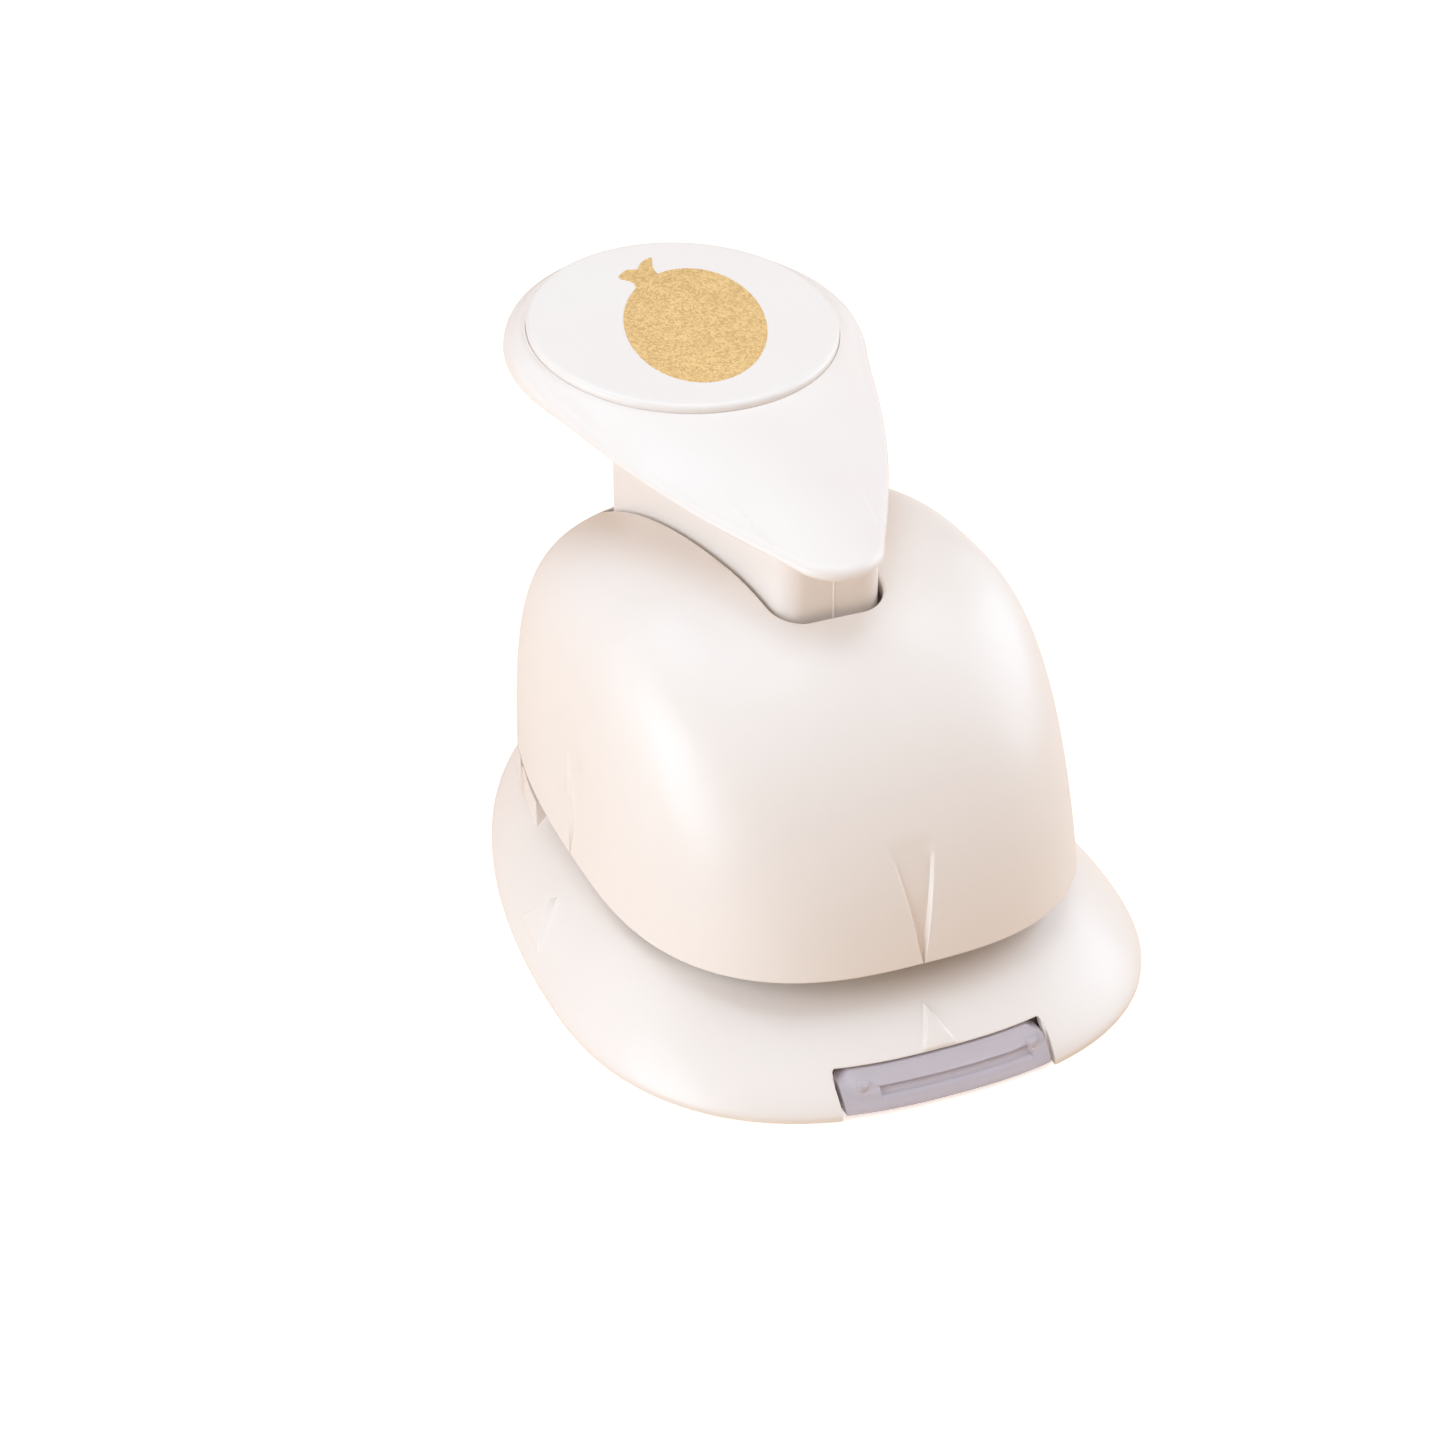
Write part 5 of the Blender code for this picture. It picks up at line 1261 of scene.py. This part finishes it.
hinge_axis = (HINGE_Y, HINGE_Z)
turn = np.radians(np.linspace(-90, 90, KNUCKLE_STEPS))
arc = np.column_stack([np.cos(turn), np.sin(turn)]) * KNUCKLE_RADIUS + hinge_axis
foot = [(TRAY_REAR - TRAY_WALL, TRAY_BOTTOM), (HINGE_Y - KNUCKLE_RADIUS, TRAY_BOTTOM)]
top = [(TRAY_REAR - TRAY_WALL, HINGE_Z + KNUCKLE_RADIUS)]
knuckle = np.concatenate([foot, arc, top])
hinges = []
for side in (-1, 1):
    low, high = sorted(side * edge for edge in KNUCKLE)
    hinges.append(cross_prism(f"knuckle_{side}", knuckle, low, high))
    low, high = sorted((side * (KNUCKLE[0] + TRAY_WALL), side * BRACKET_EDGES[1]))
    hinges.append(cross_prism(f"pin_{side}", circle(hinge_axis, TRAY_PIN_RADIUS), low, high))
carve(tray, hinges, "UNION")
finish_piece(tray, "tray", ["chip_tray"])

# %% [markdown]
# Each return spring is drawn wire: a circle swept along a helix. The end turns lie nearly flat, as
# on a ground compression spring, so the pitch grows from a closed turn to the open middle and back.
# Each spring is handed to the punch's CAD body.

# %% Return springs
SPRING_X = 15.0
SPRING_RADIUS = 2.4
WIRE_RADIUS = 0.4
WIRE_POINTS = 14
WIRE_CREASE = 60
SPRING_TURNS = 6.5
STEPS_PER_TURN = 56
END_FLATNESS = 0.42
SPRING_LOW = 15.0
SPRING_HIGH = 21.7


def spring_wire(name, x):
    """Tube round a helix: centre (r cos t, r sin t, z(t)), with the wire's circle across it.

    The rise is s - flatness sin(2 pi s) / (2 pi) of the height at the share s of the turns.
    """
    turn = np.linspace(0, 2 * math.pi * SPRING_TURNS, int(STEPS_PER_TURN * SPRING_TURNS))
    share = np.linspace(0, 1, len(turn))
    rise = share - END_FLATNESS * np.sin(2 * math.pi * share) / (2 * math.pi)
    centre = np.column_stack(
        [
            x + SPRING_RADIUS * np.cos(turn),
            DIE_CENTRE + SPRING_RADIUS * np.sin(turn),
            SPRING_LOW + (SPRING_HIGH - SPRING_LOW) * rise,
        ]
    )
    along = np.gradient(centre, axis=0)
    along = along / np.linalg.norm(along, axis=1, keepdims=True)
    out = np.column_stack([np.cos(turn), np.sin(turn), np.zeros_like(turn)])
    up = np.cross(along, out)
    up = up / np.linalg.norm(up, axis=1, keepdims=True)
    around = np.linspace(0, 2 * math.pi, WIRE_POINTS, endpoint=False)[None, :, None]
    ring = np.cos(around) * out[:, None, :] + np.sin(around) * up[:, None, :]
    return ring_solid(name, centre[:, None, :] + WIRE_RADIUS * ring)


for word, side in (("left", -1), ("right", 1)):
    spring = spring_wire(f"spring_{word}", side * SPRING_X)
    finish_piece(
        spring, "punch", [f"return_spring_{word}"], crease=WIRE_CREASE
    )
    top = (
        side * SPRING_X * MM,
        (DIE_CENTRE - ORIGIN_BEHIND) * MM,
        (SPRING_HIGH + WIRE_RADIUS) * MM,
    )
    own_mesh(spring)

# %% [markdown]
# Finishes come next. Each effect that several materials share is a node group that puts out a
# colour, a roughness and a height, and the Principled shader stays in the material. Every pattern
# reads Object coordinates, which are metres here because each piece sits at the origin, so a noise
# scale of 2000 gives grains half a millimetre across.

# %% Small helpers for shader nodes
COLOUR = "NodeSocketColor"
NUMBER = "NodeSocketFloat"
PATTERN = (("Colour", COLOUR), ("Roughness", NUMBER), ("Height", NUMBER))


def new_group(name, inputs):
    """Node group with named inputs (name, kind, default) and the three outputs of a pattern."""
    group = bpy.data.node_groups.new(name, "ShaderNodeTree")
    for label, kind, value in inputs:
        socket = group.interface.new_socket(name=label, in_out="INPUT", socket_type=kind)
        socket.default_value = value
    for label, kind in PATTERN:
        group.interface.new_socket(name=label, in_out="OUTPUT", socket_type=kind)
    place = add_node(group, "ShaderNodeTexCoord").outputs["Object"]
    return group, group.nodes.new("NodeGroupInput").outputs, place


def put_out(group, *pattern):
    """Links a colour, a roughness and a height to the group's outputs."""
    outside = group.nodes.new("NodeGroupOutput")
    for (label, _), value in zip(PATTERN, pattern):
        group.links.new(value, outside.inputs[label])
    print(group.name, "group with", len(group.nodes), "nodes")
    return group


def add_node(tree, kind, values=(), **settings):
    """A node with its settings, and values or links for its inputs by name or number."""
    node = tree.nodes.new(kind)
    for key, value in settings.items():
        setattr(node, key, value)
    for key, value in dict(values).items():
        if isinstance(value, bpy.types.NodeSocket):
            tree.links.new(value, node.inputs[key])
        else:
            node.inputs[key].default_value = value
    return node


def noise(tree, place, scale, detail=2.0, roughness=0.5):
    """Soft noise between 0 and 1, mostly from 0.3 to 0.7."""
    values = {"Vector": place, "Scale": scale, "Detail": detail, "Roughness": roughness}
    return add_node(tree, "ShaderNodeTexNoise", values).outputs["Fac"]


def spread(tree, value, low, high, start=0.3, end=0.7):
    """Takes values between start and end to values between low and high."""
    values = {"Value": value, "From Min": start, "From Max": end, "To Min": low, "To Max": high}
    return add_node(tree, "ShaderNodeMapRange", values).outputs["Result"]


def math_node(tree, operation, first, second):
    """One sum or product of two values."""
    return add_node(tree, "ShaderNodeMath", {0: first, 1: second}, operation=operation).outputs[0]


def mix_colour(tree, share, first, second):
    """First colour at share 0, second at share 1."""
    values = {0: share, 6: first, 7: second}
    return add_node(tree, "ShaderNodeMix", values, data_type="RGBA").outputs[2]


print("each pattern gives", ", ".join(label for label, _ in PATTERN))

# %% [markdown]
# Moulded plastic is never one flat colour. Slow clouds of slightly warmer resin lie where the melt
# flowed, the mould's spark-eroded skin leaves a very fine even grain, and touched places are a
# little smoother. The same group serves the white shells, the pad and the grey inner parts.


# %% Moulded plastic group
def moulded_group():
    """Resin mixed with its flow tint by clouds and specks; the specks are the height."""
    inputs = [
        ("Resin", COLOUR, (0.8, 0.8, 0.8, 1)),
        ("Flow Tint", COLOUR, (0.78, 0.77, 0.76, 1)),
        ("Flow Size", NUMBER, 60.0),
        ("Grain Size", NUMBER, 3500.0),
        ("Smoothest", NUMBER, 0.3),
        ("Roughest", NUMBER, 0.42),
    ]
    group, get, place = new_group("moulded_plastic", inputs)
    clouds = noise(group, place, get["Flow Size"], 3.0, 0.55)
    specks = noise(group, place, get["Grain Size"], 2.0, 0.6)
    touched = noise(group, place, 140.0, 2.0, 0.5)
    flow = spread(group, clouds, 0.0, 1.0)
    tone = mix_colour(group, flow, get["Resin"], get["Flow Tint"])
    fleck = spread(group, specks, 0.0, 0.35, 0.55, 0.75)
    tone = mix_colour(group, fleck, tone, get["Flow Tint"])
    rough = spread(group, touched, get["Smoothest"], get["Roughest"])
    return put_out(group, tone, rough, specks)


moulded = moulded_group()

# %% [markdown]
# Plates, cutter, posts and wire are steel. Grinding and drawing leave long fine lines, so the noise
# is stretched along one axis. Broad clouds change the tone where oil has dried, and small dark pits
# break the shine.


# %% Ground steel group
def ground_group():
    """Dull to bright by lines times clouds times pits; brighter places are smoother."""
    inputs = [
        ("Bright", COLOUR, (0.6, 0.6, 0.6, 1)),
        ("Dull", COLOUR, (0.4, 0.4, 0.4, 1)),
        ("Across", NUMBER, 4000.0),
        ("Along", NUMBER, 60.0),
        ("Smoothest", NUMBER, 0.22),
        ("Roughest", NUMBER, 0.45),
    ]
    group, get, place = new_group("ground_steel", inputs)
    sizes = {"X": get["Along"], "Y": get["Across"], "Z": get["Across"]}
    size = add_node(group, "ShaderNodeCombineXYZ", sizes).outputs[0]
    stretched = add_node(group, "ShaderNodeVectorMath", {0: place, 1: size}, operation="MULTIPLY")
    lines = noise(group, stretched.outputs[0], 1.0, 4.0, 0.65)
    clouds = noise(group, place, 180.0, 3.0, 0.6)
    pits = noise(group, place, 1500.0, 1.0, 0.5)
    lit, oiled = spread(group, lines, 0.2, 1.0), spread(group, clouds, 0.55, 1.0)
    share = math_node(group, "MULTIPLY", lit, oiled)
    share = math_node(group, "MULTIPLY", share, spread(group, pits, 1.0, 0.5, 0.66, 0.76))
    tone = mix_colour(group, share, get["Dull"], get["Bright"])
    rough = spread(group, share, get["Roughest"], get["Smoothest"], 0.1, 1.0)
    return put_out(group, tone, rough, lines)


ground = ground_group()

# %% [markdown]
# Screws and pins are zinc plated: small crystals of slightly different grey meet along faint lines,
# which a Voronoi pattern gives, and dull spots show where a driver or a neighbour has rubbed.


# %% Zinc group
def zinc_group():
    """Dull to bright by each crystal's own shade times the rubbed clouds."""
    inputs = [
        ("Bright", COLOUR, (0.68, 0.68, 0.66, 1)),
        ("Dull", COLOUR, (0.5, 0.5, 0.49, 1)),
        ("Crystal Size", NUMBER, 1600.0),
    ]
    group, get, place = new_group("zinc_plate", inputs)
    crystals = {"Vector": place, "Scale": get["Crystal Size"]}
    colour = add_node(group, "ShaderNodeTexVoronoi", crystals).outputs["Color"]
    shade = add_node(group, "ShaderNodeSeparateColor", {"Color": colour}).outputs["Red"]
    rubbed = spread(group, noise(group, place, 420.0, 3.0, 0.6), 0.5, 1.0)
    share = math_node(group, "MULTIPLY", spread(group, shade, 0.35, 1.0, 0.0, 1.0), rubbed)
    tone = mix_colour(group, share, get["Dull"], get["Bright"])
    return put_out(group, tone, spread(group, share, 0.48, 0.26, 0.2, 1.0), shade)


zinc = zinc_group()

# %% [markdown]
# A material is now one group, one bump and one Principled shader. The bump's distance is the real
# depth of the grain in metres, and whatever is the same all over is set on the shader itself. The
# record's material slots give the finishes their names.

# %% Materials for the slots
PLASTIC_IOR = 1.5
materials = {}


def new_material(name):
    """Tree and Principled shader of a new material, which is kept under its name."""
    made = bpy.data.materials.new(name)
    made.use_nodes = True
    materials[name] = made
    return made.node_tree, made.node_tree.nodes["Principled BSDF"]


def link_bump(tree, shader, height, depth, strength=1.0):
    """Bump of a real depth in metres on the shader."""
    values = {"Height": height, "Distance": depth, "Strength": strength}
    bump = add_node(tree, "ShaderNodeBump", values)
    tree.links.new(bump.outputs["Normal"], shader.inputs["Normal"])


def finish(name, group, values, depth, **plain):
    """Material whose colour, roughness and bump come from a group, with plain shader values."""
    tree, shader = new_material(name)
    pattern = tree.nodes.new("ShaderNodeGroup")
    pattern.node_tree = group
    for key, value in values.items():
        pattern.inputs[key].default_value = value
    tree.links.new(pattern.outputs["Colour"], shader.inputs["Base Color"])
    tree.links.new(pattern.outputs["Roughness"], shader.inputs["Roughness"])
    link_bump(tree, shader, pattern.outputs["Height"], depth)
    for key, value in plain.items():
        shader.inputs[key].default_value = value


def plastic(name, resin, flow_tint, flow_size, grain_size, depth, **more):
    """Moulded plastic from two colours, its clouds' and grain's sizes, and the grain's depth."""
    values = {"Resin": (*resin, 1), "Flow Tint": (*flow_tint, 1)}
    values.update({"Flow Size": flow_size, "Grain Size": grain_size}, **more)
    finish(name, moulded, values, depth, IOR=PLASTIC_IOR)


def steel(name, bright, dull, across, along, depth):
    """Ground or drawn steel from two tones, its lines' fineness each way, and their depth."""
    values = {"Bright": (*bright, 1), "Dull": (*dull, 1), "Across": across, "Along": along}
    finish(name, ground, values, depth, Metallic=1.0)


body_tones = (0.925, 0.84, 0.765), (0.915, 0.825, 0.745)
lever_tones = (0.925, 0.845, 0.775), (0.915, 0.83, 0.755)
pad_tones = (0.925, 0.855, 0.79), (0.915, 0.84, 0.77)
grey_tones = (0.085, 0.09, 0.1), (0.12, 0.125, 0.135)
pad_skin = {"Smoothest": 0.31, "Roughest": 0.38}
grey_skin = {"Smoothest": 0.42, "Roughest": 0.6}
plate_tones = (0.62, 0.62, 0.64), (0.42, 0.42, 0.43)
cutter_tones = (0.52, 0.52, 0.55), (0.3, 0.29, 0.28)
wire_tones = (0.46, 0.46, 0.48), (0.24, 0.24, 0.25)
plastic("white_body", *body_tones, 45.0, 4200.0, 0.000012)
plastic("lever_white", *lever_tones, 55.0, 4200.0, 0.00001)
plastic("pad_white", *pad_tones, 70.0, 3000.0, 0.000003, **pad_skin)
plastic("grey_plastic", *grey_tones, 160.0, 2600.0, 0.00002, **grey_skin)
steel("plate_steel", *plate_tones, 5200.0, 70.0, 0.000006)
steel("cutter_steel", *cutter_tones, 6500.0, 220.0, 0.000004)
steel("spring_steel", *wire_tones, 9000.0, 900.0, 0.000004)
finish("zinc", zinc, {}, 0.000008, Metallic=1.0)
print(len(materials), "materials for the slots")

# %% [markdown]
# The tray is smoky clear plastic. Its colour and transmission are plain values on the shader, as
# glass should be, and only the faint flow waves and hairline scratches vary over it.

# %% Clear tray
CLEAR_TINT = (0.93, 0.84, 0.87, 1)
CLEAR_TRANSMISSION = 0.5
CLEAR_IOR = 1.49
SCRATCH_SCALE = (300.0, 4200.0, 4200.0)
SCRATCH_SHARE = 0.05
CLEAR_DEPTH = 0.00004


def clear_material():
    """Roughness from stretched scratches, height from slow waves and a little of the scratches."""
    tree, shader = new_material("clear_tray")
    place = add_node(tree, "ShaderNodeTexCoord").outputs["Object"]
    scaled = add_node(tree, "ShaderNodeMapping", {"Vector": place, "Scale": SCRATCH_SCALE})
    scratches = noise(tree, scaled.outputs[0], 1.0, 2.0, 0.6)
    waves = noise(tree, place, 90.0, 1.0, 0.4)
    rough = spread(tree, scratches, 0.04, 0.12, 0.5, 0.8)
    tree.links.new(rough, shader.inputs["Roughness"])
    scratched = math_node(tree, "MULTIPLY", scratches, SCRATCH_SHARE)
    link_bump(tree, shader, math_node(tree, "ADD", waves, scratched), CLEAR_DEPTH, 0.6)
    shader.inputs["Base Color"].default_value = CLEAR_TINT
    shader.inputs["Transmission Weight"].default_value = CLEAR_TRANSMISSION
    shader.inputs["IOR"].default_value = CLEAR_IOR


clear_material()
print("clear tray: transmission", CLEAR_TRANSMISSION)

# %% [markdown]
# The foil is a metal leaf stamped over a fine grained plate: each grain tips a little and has its
# own tone, which a Voronoi pattern gives, and broad clouds make some places duller.

# %% Gold foil
GOLD_DARK = (0.66, 0.42, 0.16, 1)
GOLD_BRIGHT = (0.86, 0.60, 0.27, 1)
GOLD_METALLIC = 0.55
GOLD_GRAIN = 3600.0
GOLD_DEPTH = 0.00002


def foil_material():
    """Dark to bright gold by each grain's own tone times the clouds."""
    tree, shader = new_material("gold_foil")
    place = add_node(tree, "ShaderNodeTexCoord").outputs["Object"]
    grains = {"Vector": place, "Scale": GOLD_GRAIN}
    colour = add_node(tree, "ShaderNodeTexVoronoi", grains).outputs["Color"]
    tone = add_node(tree, "ShaderNodeSeparateColor", {"Color": colour}).outputs["Green"]
    clouds = spread(tree, noise(tree, place, 260.0, 3.0, 0.6), 0.6, 1.0)
    share = math_node(tree, "MULTIPLY", spread(tree, tone, 0.3, 1.0, 0.0, 1.0), clouds)
    gold = mix_colour(tree, share, GOLD_DARK, GOLD_BRIGHT)
    tree.links.new(gold, shader.inputs["Base Color"])
    tree.links.new(spread(tree, tone, 0.34, 0.58, 0.0, 1.0), shader.inputs["Roughness"])
    link_bump(tree, shader, tone, GOLD_DEPTH, 0.5)
    shader.inputs["Metallic"].default_value = GOLD_METALLIC


foil_material()
print("gold foil: grains", round(1000 / GOLD_GRAIN, 2), "mm across")

# %% [markdown]
# Each new piece and each CAD node now takes its finish. The record says which slot a node has, and
# a CAD node is dressed through its own material slots, so its mesh isn't touched.

# %% Finishes on the pieces
PIECES = {
    "cover_shell": "white_body",
    "base_shell": "white_body",
    "lever_shell": "lever_white",
    "pad_shell": "pad_white",
    "balloon_foil": "gold_foil",
    "tray_shell": "clear_tray",
    "spring_left": "spring_steel",
    "spring_right": "spring_steel",
}
for name, key in PIECES.items():
    piece = bpy.data.objects[name]
    piece.data.materials.clear()
    piece.data.materials.append(materials[key])
slot_of = {row["node"]: row["material_slot"] for row in frame["record"]["subparts"]}
for node, item in frame["nodes"].items():
    for place in item.material_slots:
        place.material = materials[slot_of[node]]
print(len(PIECES), "pieces and", len(frame["nodes"]), "CAD nodes have materials")

# %% [markdown]
# The camera looks down on the punch from in front and from the left through a long lens, as in a
# catalogue picture. Four large soft lamps light it: one on each side, one overhead and a weak one
# in front. They are slightly blue, against a warm world.

# %% Camera and lamps
CAMERA_AZIMUTH = math.radians(-22.85)
CAMERA_ELEVATION = math.radians(31.86)
CAMERA_DISTANCE = 461.0
CAMERA_TARGET = (7.09, 49.37, 0.0)
CAMERA_LENS = 86.7
SENSOR_WIDTH = 36.0
CLIP_START = 0.02
LAMP_COLOUR = (0.85, 1.07, 1.3)
LAMP_TARGET = (0.0, 0.0, 0.02)
# Each lamp has a place, a diameter and a power in watts.
LAMPS = {
    "lamp_left": ((-0.62, -0.14, 0.27), 0.55, 2.5),
    "lamp_right": ((0.63, -0.03, 0.33), 0.55, 2.4),
    "lamp_top": ((0.0, 0.12, 0.75), 0.7, 2.2),
    "lamp_front": ((-0.15, -0.36, 0.72), 0.5, 0.4),
}


def towards(place, target):
    """Rotation that turns a lamp's or camera's -Z from place to target."""
    way = np.asarray(target, float) - np.asarray(place, float)
    return Vector(way).to_track_quat("-Z", "Y").to_euler()


def make_camera():
    """Camera at target + distance (sin a cos e, -cos a cos e, sin e)."""
    back = np.array(
        [
            math.sin(CAMERA_AZIMUTH) * math.cos(CAMERA_ELEVATION),
            -math.cos(CAMERA_AZIMUTH) * math.cos(CAMERA_ELEVATION),
            math.sin(CAMERA_ELEVATION),
        ]
    )
    target = (np.array(CAMERA_TARGET) - (0, ORIGIN_BEHIND, 0)) * MM
    data = bpy.data.cameras.new("camera")
    data.lens = CAMERA_LENS
    data.sensor_width = SENSOR_WIDTH
    data.clip_start = CLIP_START
    made = bpy.data.objects.new("camera", data)
    made.location = target + back * CAMERA_DISTANCE * MM
    made.rotation_euler = towards(made.location, target)
    bpy.context.scene.collection.objects.link(made)
    bpy.context.scene.camera = made


def make_lamps():
    """Round area lamps that all face the punch."""
    for name, (place, size, power) in LAMPS.items():
        data = bpy.data.lights.new(name, "AREA")
        data.shape = "DISK"
        data.size = size
        data.energy = power
        data.color = LAMP_COLOUR
        made = bpy.data.objects.new(name, data)
        made.location = place
        made.rotation_euler = towards(place, LAMP_TARGET)
        bpy.context.scene.collection.objects.link(made)


make_camera()
make_lamps()
print("camera", CAMERA_DISTANCE, "mm from its target,", len(LAMPS), "lamps")

# %% [markdown]
# The floor is one sheet with a gentle curve up at the back. It is lit like paper, so the punch's
# soft shadow stays on it, and it glows a little for the camera alone, so that it comes out white.

# %% Floor
FLOOR_HALF = 1.6
FLOOR_FRONT = -1.2
FLOOR_TURN = 1.0
FLOOR_RADIUS = 0.6
FLOOR_TOP = 1.4
FLOOR_STEPS = 24
FLOOR_COLUMNS = 3
FLOOR_LIFT = 0.6
FLOOR_TONES = ((0.95, 0.77, 0.61, 1), (0.93, 0.75, 0.59, 1))
PAPER_GRAIN = 900.0
WHITE = (1, 1, 1, 1)


def make_floor():
    """Sheet with points (x, y(s), z(s)): flat, then a quarter circle, then upright."""
    turn = np.radians(np.linspace(0, 90, FLOOR_STEPS))
    bend_y = FLOOR_TURN + FLOOR_RADIUS * np.sin(turn)
    bend_z = FLOOR_RADIUS * (1 - np.cos(turn))
    y = np.concatenate([[FLOOR_FRONT, 0.0], bend_y, [FLOOR_TURN + FLOOR_RADIUS]])
    z = np.concatenate([[0.0, 0.0], bend_z, [FLOOR_TOP]])
    x = np.linspace(-FLOOR_HALF, FLOOR_HALF, FLOOR_COLUMNS)
    grid = np.stack(np.broadcast_arrays(x[None, :], y[:, None], z[:, None]), -1)
    row = np.arange(len(y) - 1)[:, None] * FLOOR_COLUMNS
    here = row + np.arange(FLOOR_COLUMNS - 1)[None, :]
    faces = np.stack([here, here + 1, here + FLOOR_COLUMNS + 1, here + FLOOR_COLUMNS], -1)
    data = bpy.data.meshes.new("floor")
    data.from_pydata(grid.reshape(-1, 3).tolist(), [], faces.reshape(-1, 4).tolist())
    made = bpy.data.objects.new("floor", data)
    bpy.context.scene.collection.objects.link(made)
    data.shade_smooth()
    return made


def floor_material():
    """Two paper tones mixed by a fine grain, and a glow of FLOOR_LIFT for camera rays."""
    made = bpy.data.materials.new("floor_paper")
    made.use_nodes = True
    tree = made.node_tree
    tree.nodes.clear()
    place = add_node(tree, "ShaderNodeTexCoord").outputs["Object"]
    grain = spread(tree, noise(tree, place, PAPER_GRAIN, 2.0, 0.5), 0.0, 1.0)
    tone = mix_colour(tree, grain, *FLOOR_TONES)
    paper = add_node(tree, "ShaderNodeBsdfDiffuse", {"Color": tone})
    seen = add_node(tree, "ShaderNodeLightPath").outputs["Is Camera Ray"]
    lift = math_node(tree, "MULTIPLY", seen, FLOOR_LIFT)
    glow = add_node(tree, "ShaderNodeEmission", {"Color": WHITE, "Strength": lift})
    both = add_node(tree, "ShaderNodeAddShader", {0: paper.outputs[0], 1: glow.outputs[0]})
    add_node(tree, "ShaderNodeOutputMaterial", {"Surface": both.outputs[0]})
    return made


floor = make_floor()
floor.data.materials.append(floor_material())
floor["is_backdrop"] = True
print("floor:", 2 * FLOOR_HALF, "m wide")

# %% [markdown]
# The world is a dim warm light. The camera, reflections and what is seen through the tray find
# plain white there instead, so metal and clear plastic show the studio's background.

# %% World
WORLD_COLOUR = (1.0, 0.7, 0.48, 1)
WORLD_STRENGTH = 0.36
WHITE_STRENGTH = 1.0


def show_white(tree):
    """1 for camera, glossy and transmission rays, 0 for the rays that light things."""
    path = add_node(tree, "ShaderNodeLightPath").outputs
    seen = math_node(tree, "MAXIMUM", path["Is Glossy Ray"], path["Is Transmission Ray"])
    return math_node(tree, "MAXIMUM", seen, path["Is Camera Ray"])


def make_world():
    """Warm background for the rays that light things, white for the rays that show it."""
    world = bpy.data.worlds.new("studio")
    world.use_nodes = True
    tree = world.node_tree
    tree.nodes.clear()
    parts = ((WORLD_COLOUR, WORLD_STRENGTH), (WHITE, WHITE_STRENGTH))
    warm, white = (
        add_node(tree, "ShaderNodeBackground", {"Color": colour, "Strength": strength}).outputs[0]
        for colour, strength in parts
    )
    mix = add_node(tree, "ShaderNodeMixShader", {0: show_white(tree), 1: warm, 2: white})
    add_node(tree, "ShaderNodeOutputWorld", {"Surface": mix.outputs[0]})
    bpy.context.scene.world = world


make_world()
bpy.context.scene.view_settings.view_transform = "Standard"
print("world strength", WORLD_STRENGTH, "with the Standard view")

# %% [markdown]
# The dressed object should keep to the CAD's box, so the box of every shown piece is measured.

# %% Sizes and end
low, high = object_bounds()
